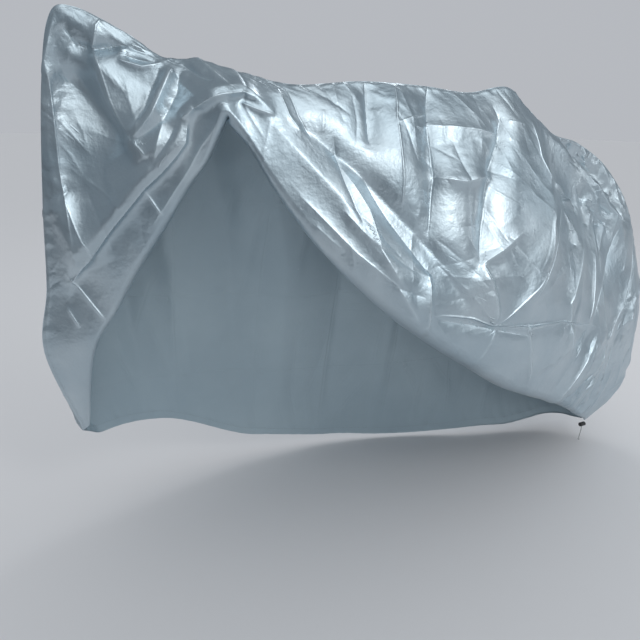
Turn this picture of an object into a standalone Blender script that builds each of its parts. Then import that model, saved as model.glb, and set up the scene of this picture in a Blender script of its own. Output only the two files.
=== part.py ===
"""Bicycle cover in silver film, draped as it hangs over a bicycle with its left side tucked up.

The cover is two large side panels sewn together along one seam, which climbs the front, runs
over the handlebar and the saddle and comes down the tail.  The right panel hangs almost to the
ground.  The left panel is turned up inside, so that it ends in a rolled fold, and stands open
like an upside-down V below the handlebar.  A short end of the hem's drawcord hangs from a cord
lock at the rear corner.

Tables are in metres: x runs from the front (-) to the rear (+), y from the left side (-) to the
right side (+), and z is the height above the ground.  The part's origin is the point under the
cloth where the saddle holds it up.
"""

from collections import namedtuple
import math

import bmesh
import bpy
from mathutils import Matrix, Vector
import numpy as np

COLLECTION = "bicycle_cover"

SADDLE_TOP = (0.30, 0.0, 1.035)        # where the saddle holds the cloth, in the tables' frame
CLOTH_THICKNESS = 0.002
SEAM_GAP = 0.0003

SECTIONS = 46                          # sections from the front corner to the rear corner
LEFT_STEPS = 16                        # steps down the left panel, seam to fold
TURN_STEPS = 4                         # steps round the rolled fold
TUCK_STEPS = 3                         # steps up the part that is turned inside
RIGHT_STEPS = 18                       # steps down the right panel, seam to hem
GRID_HALF = 0.5                        # half a side of the flat square that a panel is bent from

SEAM_FADE = 0.06                       # share of a panel, from its seam, where creases fade in
EDGE_FADE = 0.08                       # share of a panel, to its lower edge, where they fade out
END_DROP = 0.7                         # share of its height that a fold has lost at its ends
FOLD_SHARPNESS = 1.35                  # 2 is a round fold, 1 a sharp one
TINY = 1e-9                            # keeps a division clear of nought

# The seam, and under each of its points the lower edge of either panel.
# left_*: the fold that ends the visible left panel; right_*: the hem of the right panel.
Station = namedtuple(
    "Station",
    "name seam_x seam_y seam_z left_x left_y left_z right_x right_y right_z",
)
STATIONS = (
    Station("front corner", -0.670, 0.240, 0.245, -0.655, 0.230, 0.262, -0.650, 0.262, 0.225),
    Station("shin",         -0.728, 0.225, 0.465, -0.630, 0.145, 0.480, -0.630, 0.295, 0.200),
    Station("nose low",     -0.705, 0.212, 0.620, -0.572, 0.110, 0.590, -0.580, 0.312, 0.200),
    Station("nose mid",     -0.690, 0.198, 0.800, -0.525, 0.072, 0.685, -0.520, 0.325, 0.195),
    Station("nose high",    -0.665, 0.182, 1.020, -0.475, 0.035, 0.770, -0.450, 0.335, 0.180),
    Station("tip front",    -0.637, 0.165, 1.145, -0.446, 0.020, 0.820, -0.395, 0.338, 0.158),
    Station("tip",          -0.595, 0.152, 1.162, -0.428, 0.005, 0.852, -0.345, 0.340, 0.132),
    Station("bar end",      -0.510, 0.125, 1.122, -0.402, -0.008, 0.890, -0.285, 0.340, 0.100),
    Station("pinch",        -0.446, 0.104, 1.080, -0.385, -0.028, 0.938, -0.220, 0.338, 0.072),
    Station("stem",         -0.395, 0.078, 1.076, -0.368, -0.048, 0.980, -0.160, 0.332, 0.060),
    Station("apex",         -0.310, 0.038, 1.056, -0.335, -0.060, 0.935, -0.085, 0.325, 0.045),
    Station("top tube",     -0.215, 0.000, 1.038, -0.292, -0.086, 0.845, 0.000, 0.315, 0.030),
    Station("mid span",     -0.064, 0.000, 1.050, -0.219, -0.130, 0.738, 0.085, 0.298, 0.023),
    Station("seat nose",    0.090, 0.000, 1.047, -0.120, -0.183, 0.628, 0.190, 0.268, 0.012),
    Station("saddle",       0.215, 0.000, 1.038, -0.009, -0.215, 0.532, 0.290, 0.235, 0.010),
    Station("saddle rear",  0.330, 0.003, 1.054, 0.120, -0.220, 0.444, 0.380, 0.203, 0.014),
    Station("drop",         0.412, 0.015, 1.012, 0.235, -0.210, 0.370, 0.455, 0.175, 0.020),
    Station("hollow",       0.540, 0.040, 0.950, 0.345, -0.190, 0.315, 0.535, 0.152, 0.023),
    Station("tail top",     0.720, 0.108, 0.922, 0.450, -0.165, 0.268, 0.615, 0.130, 0.022),
    Station("tail high",    0.890, 0.130, 0.845, 0.545, -0.132, 0.220, 0.685, 0.115, 0.032),
    Station("tail mid",     1.000, 0.108, 0.705, 0.635, -0.097, 0.170, 0.750, 0.098, 0.046),
    Station("tail low",     1.025, 0.052, 0.470, 0.710, -0.066, 0.125, 0.795, 0.070, 0.052),
    Station("heel",         0.970, 0.012, 0.225, 0.775, -0.040, 0.090, 0.822, 0.040, 0.050),
    Station("rear corner",  0.850, 0.000, 0.085, 0.812, -0.016, 0.066, 0.838, 0.014, 0.052),
)

# How far each panel stands out from the straight line between its seam and its edge, at a
# quarter, a half and three quarters of the way down, and how the left panel is turned under.
Drape = namedtuple(
    "Drape",
    "left_quarter left_half left_three right_quarter right_half right_three fold_radius tuck",
)
DRAPES = (
    Drape(0.000, 0.000, 0.000, 0.000, 0.000, 0.000, 0.002, 0.010),   # front corner
    Drape(0.000, 0.004, 0.004, 0.015, 0.018, 0.010, 0.008, 0.050),   # shin
    Drape(0.000, 0.004, 0.006, 0.022, 0.030, 0.018, 0.011, 0.080),   # nose low
    Drape(-0.006, 0.000, 0.006, 0.030, 0.040, 0.025, 0.013, 0.090),  # nose mid
    Drape(-0.012, -0.008, 0.004, 0.032, 0.045, 0.032, 0.014, 0.100),  # nose high
    Drape(-0.006, -0.006, 0.005, 0.030, 0.048, 0.035, 0.013, 0.100),  # tip front
    Drape(0.000, -0.004, 0.006, 0.030, 0.050, 0.035, 0.012, 0.100),  # tip
    Drape(0.004, 0.002, 0.008, 0.032, 0.050, 0.035, 0.011, 0.080),   # bar end
    Drape(0.008, 0.010, 0.010, 0.035, 0.050, 0.032, 0.010, 0.060),   # pinch
    Drape(0.014, 0.014, 0.010, 0.040, 0.050, 0.030, 0.010, 0.050),   # stem
    Drape(0.018, 0.018, 0.012, 0.042, 0.048, 0.028, 0.012, 0.070),   # apex
    Drape(0.026, 0.026, 0.018, 0.048, 0.048, 0.028, 0.018, 0.130),   # top tube
    Drape(0.035, 0.040, 0.028, 0.052, 0.048, 0.026, 0.022, 0.220),   # mid span
    Drape(0.045, 0.055, 0.042, 0.060, 0.054, 0.028, 0.028, 0.270),   # seat nose
    Drape(0.058, 0.070, 0.056, 0.076, 0.066, 0.034, 0.033, 0.300),   # saddle
    Drape(0.058, 0.076, 0.065, 0.084, 0.080, 0.045, 0.034, 0.300),   # saddle rear
    Drape(0.045, 0.078, 0.072, 0.084, 0.090, 0.056, 0.033, 0.290),   # drop
    Drape(0.025, 0.072, 0.075, 0.080, 0.098, 0.065, 0.031, 0.270),   # hollow
    Drape(0.018, 0.064, 0.074, 0.074, 0.104, 0.072, 0.028, 0.230),   # tail top
    Drape(0.026, 0.060, 0.068, 0.070, 0.104, 0.074, 0.025, 0.190),   # tail high
    Drape(0.042, 0.060, 0.056, 0.066, 0.094, 0.066, 0.019, 0.140),   # tail mid
    Drape(0.050, 0.054, 0.040, 0.062, 0.076, 0.050, 0.013, 0.090),   # tail low
    Drape(0.032, 0.032, 0.020, 0.036, 0.038, 0.022, 0.007, 0.040),   # heel
    Drape(0.000, 0.000, 0.000, 0.000, 0.000, 0.000, 0.002, 0.010),   # rear corner
)

# The main folds of each panel, as lines seen from the side.  A line's points are (x, z), its
# width is the distance over which it falls to a third on its upper side (width_up) and on its
# lower side (width_low), and height is how far it stands out (-: in).
Fold = namedtuple("Fold", "name line width_up width_low height")
LEFT_FOLDS = (
    Fold("slack over front strip", ((-0.41, 0.99), (-0.44, 0.93), (-0.51, 0.85), (-0.57, 0.77),
         (-0.66, 0.65)), 0.055, 0.012, 0.022),
    Fold("hollow under bar end", ((-0.62, 1.06), (-0.58, 0.98), (-0.53, 0.91)),
         0.028, 0.045, -0.024),
    Fold("ridge under bar end", ((-0.57, 1.08), (-0.55, 1.00), (-0.53, 0.94), (-0.50, 0.89)),
         0.045, 0.014, 0.016),
    Fold("front ridge", ((-0.65, 1.10), (-0.66, 0.90), (-0.65, 0.74)), 0.030, 0.030, 0.014),
    Fold("bar end cap", ((-0.61, 1.10), (-0.57, 1.09), (-0.52, 1.10)), 0.025, 0.025, -0.012),
    Fold("hanging lobe", ((-0.44, 1.05), (-0.48, 0.98), (-0.52, 0.94)), 0.018, 0.018, 0.018),
    Fold("low front lobe", ((-0.65, 0.82), (-0.63, 0.74), (-0.60, 0.68)), 0.030, 0.030, 0.015),
    Fold("over the bar", ((-0.44, 0.97), (-0.39, 1.01), (-0.33, 1.02), (-0.28, 0.98)),
         0.028, 0.014, 0.014),
    Fold("slanting ridge", ((-0.30, 0.98), (-0.17, 0.83), (-0.07, 0.68), (-0.02, 0.57)),
         0.035, 0.030, 0.014),
    Fold("slanting hollow", ((-0.23, 0.97), (-0.11, 0.87), (0.01, 0.73), (0.10, 0.60)),
         0.035, 0.040, -0.022),
    Fold("top crease 1", ((-0.06, 1.03), (-0.09, 0.92)), 0.025, 0.025, -0.010),
    Fold("top crease 2", ((0.09, 1.03), (0.04, 0.93), (0.01, 0.76)), 0.025, 0.025, -0.010),
    Fold("cross ridge", ((0.02, 0.87), (0.11, 0.86), (0.20, 0.87)), 0.030, 0.030, 0.012),
    Fold("saddle crease", ((0.27, 1.00), (0.23, 0.92), (0.17, 0.83), (0.12, 0.69)),
         0.030, 0.035, -0.018),
    Fold("upright ridge", ((0.12, 0.69), (0.14, 0.62), (0.16, 0.56)), 0.028, 0.028, 0.012),
    Fold("saddle corner ridge", ((0.38, 0.99), (0.40, 0.88), (0.36, 0.74), (0.25, 0.61)),
         0.040, 0.035, 0.016),
    Fold("low cross crease", ((-0.01, 0.60), (0.16, 0.56), (0.42, 0.52), (0.59, 0.46)),
         0.030, 0.025, -0.012),
    Fold("tail knuckle", ((0.44, 0.97), (0.56, 0.90), (0.69, 0.83), (0.84, 0.73), (0.88, 0.64)),
         0.028, 0.055, 0.024),
    Fold("tail hollow", ((0.50, 0.96), (0.66, 0.91), (0.82, 0.83), (0.94, 0.70)),
         0.030, 0.030, -0.022),
    Fold("tail upright", ((0.60, 0.70), (0.52, 0.60), (0.45, 0.45)), 0.030, 0.030, 0.008),
    Fold("heel ridge", ((0.70, 0.45), (0.60, 0.37), (0.50, 0.28)), 0.030, 0.030, 0.014),
)
RIGHT_FOLDS = (
    Fold("from bar end", ((-0.60, 1.08), (-0.56, 0.75), (-0.50, 0.30)), 0.045, 0.040, 0.020),
    Fold("behind bar end", ((-0.52, 1.04), (-0.44, 0.75), (-0.38, 0.30)), 0.040, 0.045, -0.018),
    Fold("from stem", ((-0.38, 1.02), (-0.30, 0.70), (-0.24, 0.20)), 0.045, 0.045, 0.018),
    Fold("behind stem", ((-0.26, 0.98), (-0.16, 0.65), (-0.12, 0.15)), 0.050, 0.050, -0.014),
    Fold("mid fold", ((-0.04, 1.00), (0.00, 0.70), (0.02, 0.15)), 0.040, 0.045, 0.014),
    Fold("under saddle", ((0.22, 0.99), (0.18, 0.70), (0.18, 0.15)), 0.045, 0.050, -0.014),
    Fold("from saddle rear", ((0.36, 1.00), (0.40, 0.65), (0.42, 0.15)), 0.045, 0.045, 0.020),
    Fold("tail fold", ((0.50, 0.92), (0.62, 0.60), (0.66, 0.15)), 0.045, 0.050, -0.016),
    Fold("tail ridge", ((0.66, 0.88), (0.80, 0.60), (0.80, 0.25)), 0.045, 0.050, 0.014),
)

# The drawcord's free end, and what is on it.  The route's points are chosen by hand.
Spot = namedtuple("Spot", "x y z")
CORD_DIAMETER = 0.0025
CORD_ROUTE = (
    (0.7900, -0.0260, 0.0552),
    (0.7900, -0.0262, 0.0490),
    (0.7894, -0.0266, 0.0420),
    (0.7880, -0.0272, 0.0345),
    (0.7862, -0.0276, 0.0270),
    (0.7852, -0.0274, 0.0195),
    (0.7856, -0.0270, 0.0120),
)
CORD_STEP = 0.003
STOP_CENTRE = (0.7900, -0.0260, 0.0620)
STOP_RADIUS = 0.0065
STOP_LENGTH = 0.0220
STOP_ROUND = 0.0025
KNOT_RADIUS = 0.0034
PIECE_GAP = 0.0003


def smooth_column(rows, column, at):
    """Catmull-Rom curve through one column of a table, read at fractional row numbers."""
    values = np.array([getattr(row, column) for row in rows])
    last = len(values) - 1
    low = np.clip(np.floor(at).astype(int), 0, last - 1)
    part = at - low
    before = values[np.clip(low - 1, 0, last)]
    start = values[low]
    end = values[low + 1]
    after = values[np.clip(low + 2, 0, last)]
    return 0.5 * (
        2.0 * start
        + (end - before) * part
        + (2.0 * before - 5.0 * start + 4.0 * end - after) * part**2
        + (3.0 * start - before - 3.0 * end + after) * part**3
    )


def smooth_point(prefix, at):
    columns = [smooth_column(STATIONS, prefix + axis, at) for axis in ("_x", "_y", "_z")]
    return np.stack(columns, axis=-1)


def even_sections(count):
    """Fractional station numbers that part the cover into sections of like length."""
    fine = np.linspace(0.0, len(STATIONS) - 1.0, 1200)
    path = smooth_point("seam", fine) + smooth_point("left", fine) + smooth_point("right", fine)
    steps = np.linalg.norm(np.diff(path, axis=0), axis=1)
    travelled = np.concatenate(([0.0], np.cumsum(steps)))
    return np.interp(np.linspace(0.0, travelled[-1], count), travelled, fine)


def unit(vectors):
    return vectors / np.linalg.norm(vectors, axis=-1, keepdims=True)


def smooth_step(value):
    value = np.clip(value, 0.0, 1.0)
    return value * value * (3.0 - 2.0 * value)


def stand_out(knots, values, at):
    """One smooth curve through a section's five distances from the straight line."""
    total = np.zeros_like(at)
    for i, knot in enumerate(knots):
        weight = np.ones_like(at)
        for j, other in enumerate(knots):
            if i != j:
                weight = weight * (at - other) / (knot - other)
        total = total + weight * values[i]
    return total


def hang(side, at, down):
    """Rows of points down one panel; down holds each section's steps, 0 at the seam to 1."""
    seam = smooth_point("seam", at)
    run = smooth_point(side, at) - seam
    along = unit(run)
    sideways = np.array([0.0, -1.0 if side == "left" else 1.0, 0.0])
    outward = unit(sideways - (along @ sideways)[:, None] * along)
    knots = (0.0, 0.25, 0.5, 0.75, 1.0)
    none = np.zeros_like(at)
    middles = [smooth_column(DRAPES, side + name, at) for name in ("_quarter", "_half", "_three")]
    rows = np.stack([none] + middles + [none], axis=-1)
    bulge = np.stack([stand_out(knots, row, steps) for row, steps in zip(rows, down)])
    points = seam[:, None, :] + run[:, None, :] * down[:, :, None]
    return points + outward[:, None, :] * bulge[:, :, None]


def surface_normals(points, sideways):
    """Unit normals of a grid of points, on the side that sideways points to."""
    normals = np.cross(np.gradient(points, axis=0), np.gradient(points, axis=1))
    return unit(normals) * sideways


def fold_height(fold, x, z):
    """How far one fold lifts the cloth at each (x, z)."""
    line = np.array(fold.line)
    upper = 1.0 if line[-1, 0] > line[0, 0] else -1.0
    nearest = np.full(x.shape, np.inf)
    above = np.zeros_like(x)
    position = np.zeros_like(x)
    for i, (start, end) in enumerate(zip(line[:-1], line[1:])):
        step = end - start
        share = ((x - start[0]) * step[0] + (z - start[1]) * step[1]) / (step @ step)
        share = np.clip(share, 0.0, 1.0)
        off_x = x - start[0] - share * step[0]
        off_z = z - start[1] - share * step[1]
        distance = np.hypot(off_x, off_z)
        across = upper * (step[0] * off_z - step[1] * off_x) / np.hypot(*step)
        closer = distance < nearest
        nearest = np.where(closer, distance, nearest)
        above = np.where(closer, across / np.maximum(distance, TINY), above)
        position = np.where(closer, (i + share) / (len(line) - 1), position)
    width = fold.width_low + (fold.width_up - fold.width_low) * (0.5 + 0.5 * above)
    taper = 1.0 - (2.0 * position - 1.0) ** 4 * END_DROP
    return fold.height * taper * np.exp(-((nearest / width) ** FOLD_SHARPNESS))


def crease(points, down, folds, normals):
    """Lift a panel's points by all its folds, less so close to its seam and its lower edge."""
    fade = smooth_step(down / SEAM_FADE) * smooth_step((1.0 - down) / EDGE_FADE)
    lift = np.zeros(points.shape[:2])
    for fold in folds:
        lift += fold_height(fold, points[:, :, 0], points[:, :, 2])
    return points + normals * (lift * fade)[:, :, None]


def left_points():
    at = even_sections(SECTIONS)
    length = np.linalg.norm(smooth_point("left", at) - smooth_point("seam", at), axis=1)
    radius = smooth_column(DRAPES, "fold_radius", at)
    tuck = smooth_column(DRAPES, "tuck", at)

    # The outer layer stops where the rolled fold begins, a radius above the panel's lower edge.
    reach = 1.0 - radius / length
    down = reach[:, None] * np.linspace(0.0, 1.0, LEFT_STEPS + 1)[None, :]
    plain = hang("left", at, down)
    outer = crease(plain, down, LEFT_FOLDS, surface_normals(plain, -1.0))
    outer[:, 0, 1] -= SEAM_GAP / 2.0

    # The turned-in layer follows the outer one, two radii inside it.
    up = (reach - tuck / length)[:, None] + (tuck / length)[:, None] * np.linspace(
        1.0, 0.0, TUCK_STEPS + 1)[None, :]
    inner = hang("left", at, up)
    inner -= surface_normals(inner, 1.0) * (2.0 * radius)[:, None, None]

    # Half a turn of the fold joins the two layers.
    start = outer[:, -1:]
    across = (inner[:, :1] - start) / 2.0
    along = unit(plain[:, -1:] - plain[:, -2:-1]) * radius[:, None, None]
    turn = np.linspace(0.0, math.pi, TURN_STEPS + 1)[None, 1:-1, None]
    arc = start + across * (1.0 - np.cos(turn)) + along * np.sin(turn)
    return np.concatenate([outer, arc, inner], axis=1)


def right_points():
    at = even_sections(SECTIONS)
    down = np.tile(np.linspace(0.0, 1.0, RIGHT_STEPS + 1), (SECTIONS, 1))
    points = hang("right", at, down)
    points = crease(points, down, RIGHT_FOLDS, surface_normals(points, 1.0))
    points[:, 0, 1] += SEAM_GAP / 2.0
    return points


def film(name, colour, roughness, metallic):
    material = bpy.data.materials.new(name)
    material.use_nodes = True
    shader = material.node_tree.nodes["Principled BSDF"]
    shader.inputs["Base Color"].default_value = (*colour, 1.0)
    shader.inputs["Roughness"].default_value = roughness
    shader.inputs["Metallic"].default_value = metallic
    material.diffuse_color = (*colour, 1.0)
    return material


def in_part_frame(point):
    return Vector(point) - Vector(SADDLE_TOP)


def add_object(name, mesh, material, collection):
    piece = bpy.data.objects.new(name, mesh)
    collection.objects.link(piece)
    mesh.materials.append(material)
    return piece


def sheet(name, points, outside_up, material, collection):
    """An open grid bent to the points, then thickened outwards."""
    rows, columns = points.shape[:2]
    grid = bmesh.new()
    bmesh.ops.create_grid(grid, x_segments=rows - 1, y_segments=columns - 1, size=GRID_HALF)
    for vertex in grid.verts:
        row = round((vertex.co.x + GRID_HALF) * (rows - 1))
        column = round((vertex.co.y + GRID_HALF) * (columns - 1))
        vertex.co = in_part_frame(points[row, column])
    if not outside_up:
        bmesh.ops.reverse_faces(grid, faces=grid.faces)
    mesh = bpy.data.meshes.new(name)
    grid.to_mesh(mesh)
    grid.free()
    mesh.shade_smooth()
    piece = add_object(name, mesh, material, collection)
    thicken = piece.modifiers.new("thickness", "SOLIDIFY")
    thicken.thickness = CLOTH_THICKNESS
    thicken.offset = 1.0
    return piece


def main():
    for old in list(bpy.data.objects):
        bpy.data.objects.remove(old, do_unlink=True)
    collection = bpy.data.collections.new(COLLECTION)
    bpy.context.scene.collection.children.link(collection)
    silver = film("silver_film", (0.42, 0.47, 0.50), 0.32, 0.65)
    black = film("black_plastic", (0.02, 0.02, 0.022), 0.45, 0.0)
    grey = film("grey_cord", (0.45, 0.46, 0.47), 0.8, 0.0)

    sheet("left_panel", left_points(), False, silver, collection)
    sheet("right_panel", right_points(), True, silver, collection)
    add_cord(collection, grey)
    add_stop(collection, black)
    add_knot(collection, grey)


def cord_points():
    """The cord's route read every CORD_STEP metres from a smooth curve through its points."""
    rows = [Spot(*spot) for spot in CORD_ROUTE]
    fine = np.linspace(0.0, len(rows) - 1.0, 200)
    curve = np.stack([smooth_column(rows, axis, fine) for axis in "xyz"], axis=-1)
    travelled = np.concatenate(([0.0], np.cumsum(np.linalg.norm(np.diff(curve, axis=0), axis=1))))
    count = round(travelled[-1] / CORD_STEP) + 1
    stops = np.linspace(0.0, travelled[-1], count)
    return np.stack([np.interp(stops, travelled, curve[:, i]) for i in range(3)], axis=-1)


def add_cord(collection, material):
    curve = bpy.data.curves.new("drawcord_end", "CURVE")
    curve.dimensions = "3D"
    curve.bevel_depth = CORD_DIAMETER / 2.0
    curve.bevel_resolution = 2
    curve.use_fill_caps = True
    points = cord_points()
    spline = curve.splines.new("POLY")
    spline.points.add(len(points) - 1)
    for target, point in zip(spline.points, points):
        target.co = (*in_part_frame(point), 1.0)
    curve.materials.append(material)
    collection.objects.link(bpy.data.objects.new("drawcord_end", curve))


def add_stop(collection, material):
    """A flattened barrel that lies along the hem, with the cord leaving its underside."""
    mesh = bpy.data.meshes.new("cord_stop")
    solid = bmesh.new()
    bmesh.ops.create_cone(
        solid, cap_ends=True, segments=20, radius1=STOP_RADIUS, radius2=STOP_RADIUS,
        depth=STOP_LENGTH,
    )
    turn = Matrix.Rotation(math.radians(90.0), 4, "Y")
    place = Matrix.Translation(in_part_frame(STOP_CENTRE))
    solid.transform(place @ turn)
    solid.to_mesh(mesh)
    solid.free()
    piece = add_object("cord_stop", mesh, material, collection)
    soften = piece.modifiers.new("rounded ends", "BEVEL")
    soften.width = STOP_ROUND
    soften.segments = 3
    soften.limit_method = "ANGLE"


def add_knot(collection, material):
    """The knot just below the cord's end."""
    mesh = bpy.data.meshes.new("drawcord_knot")
    solid = bmesh.new()
    bmesh.ops.create_uvsphere(solid, u_segments=12, v_segments=8, radius=KNOT_RADIUS)
    centre = in_part_frame(CORD_ROUTE[-1]) - Vector((0.0, 0.0, KNOT_RADIUS + PIECE_GAP))
    solid.transform(Matrix.Translation(centre))
    solid.to_mesh(mesh)
    solid.free()
    mesh.shade_smooth()
    add_object("drawcord_knot", mesh, material, collection)


if __name__ == "__main__":
    main()
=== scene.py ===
"""Looks of the bicycle cover: its two film panels, the seam and hem stitching and the drawcord.

The panels repeat the part's own tables on a finer grid, with the small sharp creases of thin
metallic film added.  Tables are in metres in the ground frame: x runs from the front (-) to the
rear (+), y from the left side (-) to the right side (+), and z is the height above the ground.
"""

from collections import namedtuple
import math

import bpy
from mathutils import Matrix, Vector
import numpy as np


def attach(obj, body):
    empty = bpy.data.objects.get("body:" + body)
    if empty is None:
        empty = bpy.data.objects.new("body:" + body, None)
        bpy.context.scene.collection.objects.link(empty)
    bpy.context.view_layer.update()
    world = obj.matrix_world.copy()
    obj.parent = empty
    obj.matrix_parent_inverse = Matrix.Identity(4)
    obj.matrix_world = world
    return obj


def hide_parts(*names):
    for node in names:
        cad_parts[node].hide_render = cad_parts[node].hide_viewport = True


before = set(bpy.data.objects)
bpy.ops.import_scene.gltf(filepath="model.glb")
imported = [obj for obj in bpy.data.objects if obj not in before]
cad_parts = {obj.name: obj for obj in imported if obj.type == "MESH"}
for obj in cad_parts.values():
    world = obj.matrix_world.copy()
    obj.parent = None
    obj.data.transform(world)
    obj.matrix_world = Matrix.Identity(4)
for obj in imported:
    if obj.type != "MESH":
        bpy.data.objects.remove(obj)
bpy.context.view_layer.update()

SADDLE_TOP = (0.30, 0.0, 1.035)        # where the saddle holds the cloth, in the tables' frame
SEAM_GAP = 0.0003

SEAM_FADE = 0.06                       # share of a panel, from its seam, where creases fade in
EDGE_FADE = 0.08                       # share of a panel, to its lower edge, where they fade out
END_DROP = 0.7                         # share of its height that a fold has lost at its ends
FOLD_SHARPNESS = 1.35                  # 2 is a round fold, 1 a sharp one
TINY = 1e-9                            # keeps a division clear of nought

# The seam, and under each of its points the lower edge of either panel.
# left_*: the fold that ends the visible left panel; right_*: the hem of the right panel.
Station = namedtuple(
    "Station",
    "name seam_x seam_y seam_z left_x left_y left_z right_x right_y right_z",
)
STATIONS = (
    Station("front corner", -0.670, 0.240, 0.245, -0.655, 0.230, 0.262, -0.650, 0.262, 0.225),
    Station("shin",         -0.728, 0.225, 0.465, -0.630, 0.145, 0.480, -0.630, 0.295, 0.200),
    Station("nose low",     -0.705, 0.212, 0.620, -0.572, 0.110, 0.590, -0.580, 0.312, 0.200),
    Station("nose mid",     -0.690, 0.198, 0.800, -0.525, 0.072, 0.685, -0.520, 0.325, 0.195),
    Station("nose high",    -0.665, 0.182, 1.020, -0.475, 0.035, 0.770, -0.450, 0.335, 0.180),
    Station("tip front",    -0.637, 0.165, 1.145, -0.446, 0.020, 0.820, -0.395, 0.338, 0.158),
    Station("tip",          -0.595, 0.152, 1.162, -0.428, 0.005, 0.852, -0.345, 0.340, 0.132),
    Station("bar end",      -0.510, 0.125, 1.122, -0.402, -0.008, 0.890, -0.285, 0.340, 0.100),
    Station("pinch",        -0.446, 0.104, 1.080, -0.385, -0.028, 0.938, -0.220, 0.338, 0.072),
    Station("stem",         -0.395, 0.078, 1.076, -0.368, -0.048, 0.980, -0.160, 0.332, 0.060),
    Station("apex",         -0.310, 0.038, 1.056, -0.335, -0.060, 0.935, -0.085, 0.325, 0.045),
    Station("top tube",     -0.215, 0.000, 1.038, -0.292, -0.086, 0.845, 0.000, 0.315, 0.030),
    Station("mid span",     -0.064, 0.000, 1.050, -0.219, -0.130, 0.738, 0.085, 0.298, 0.023),
    Station("seat nose",    0.090, 0.000, 1.047, -0.120, -0.183, 0.628, 0.190, 0.268, 0.012),
    Station("saddle",       0.215, 0.000, 1.038, -0.009, -0.215, 0.532, 0.290, 0.235, 0.010),
    Station("saddle rear",  0.330, 0.003, 1.054, 0.120, -0.220, 0.444, 0.380, 0.203, 0.014),
    Station("drop",         0.412, 0.015, 1.012, 0.235, -0.210, 0.370, 0.455, 0.175, 0.020),
    Station("hollow",       0.540, 0.040, 0.950, 0.345, -0.190, 0.315, 0.535, 0.152, 0.023),
    Station("tail top",     0.720, 0.108, 0.922, 0.450, -0.165, 0.268, 0.615, 0.130, 0.022),
    Station("tail high",    0.890, 0.130, 0.845, 0.545, -0.132, 0.220, 0.685, 0.115, 0.032),
    Station("tail mid",     1.000, 0.108, 0.705, 0.635, -0.097, 0.170, 0.750, 0.098, 0.046),
    Station("tail low",     1.025, 0.052, 0.470, 0.710, -0.066, 0.125, 0.795, 0.070, 0.052),
    Station("heel",         0.970, 0.012, 0.225, 0.775, -0.040, 0.090, 0.822, 0.040, 0.050),
    Station("rear corner",  0.850, 0.000, 0.085, 0.812, -0.016, 0.066, 0.838, 0.014, 0.052),
)

# How far each panel stands out from the straight line between its seam and its edge, at a
# quarter, a half and three quarters of the way down, and how the left panel is turned under.
Drape = namedtuple(
    "Drape",
    "left_quarter left_half left_three right_quarter right_half right_three fold_radius tuck",
)
DRAPES = (
    Drape(0.000, 0.000, 0.000, 0.000, 0.000, 0.000, 0.002, 0.010),   # front corner
    Drape(0.000, 0.004, 0.004, 0.015, 0.018, 0.010, 0.008, 0.050),   # shin
    Drape(0.000, 0.004, 0.006, 0.022, 0.030, 0.018, 0.011, 0.080),   # nose low
    Drape(-0.006, 0.000, 0.006, 0.030, 0.040, 0.025, 0.013, 0.090),  # nose mid
    Drape(-0.012, -0.008, 0.004, 0.032, 0.045, 0.032, 0.014, 0.100),  # nose high
    Drape(-0.006, -0.006, 0.005, 0.030, 0.048, 0.035, 0.013, 0.100),  # tip front
    Drape(0.000, -0.004, 0.006, 0.030, 0.050, 0.035, 0.012, 0.100),  # tip
    Drape(0.004, 0.002, 0.008, 0.032, 0.050, 0.035, 0.011, 0.080),   # bar end
    Drape(0.008, 0.010, 0.010, 0.035, 0.050, 0.032, 0.010, 0.060),   # pinch
    Drape(0.014, 0.014, 0.010, 0.040, 0.050, 0.030, 0.010, 0.050),   # stem
    Drape(0.018, 0.018, 0.012, 0.042, 0.048, 0.028, 0.012, 0.070),   # apex
    Drape(0.026, 0.026, 0.018, 0.048, 0.048, 0.028, 0.018, 0.130),   # top tube
    Drape(0.035, 0.040, 0.028, 0.052, 0.048, 0.026, 0.022, 0.220),   # mid span
    Drape(0.045, 0.055, 0.042, 0.060, 0.054, 0.028, 0.028, 0.270),   # seat nose
    Drape(0.058, 0.070, 0.056, 0.076, 0.066, 0.034, 0.033, 0.300),   # saddle
    Drape(0.058, 0.076, 0.065, 0.084, 0.080, 0.045, 0.034, 0.300),   # saddle rear
    Drape(0.045, 0.078, 0.072, 0.084, 0.090, 0.056, 0.033, 0.290),   # drop
    Drape(0.025, 0.072, 0.075, 0.080, 0.098, 0.065, 0.031, 0.270),   # hollow
    Drape(0.018, 0.064, 0.074, 0.074, 0.104, 0.072, 0.028, 0.230),   # tail top
    Drape(0.026, 0.060, 0.068, 0.070, 0.104, 0.074, 0.025, 0.190),   # tail high
    Drape(0.042, 0.060, 0.056, 0.066, 0.094, 0.066, 0.019, 0.140),   # tail mid
    Drape(0.050, 0.054, 0.040, 0.062, 0.076, 0.050, 0.013, 0.090),   # tail low
    Drape(0.032, 0.032, 0.020, 0.036, 0.038, 0.022, 0.007, 0.040),   # heel
    Drape(0.000, 0.000, 0.000, 0.000, 0.000, 0.000, 0.002, 0.010),   # rear corner
)

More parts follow.
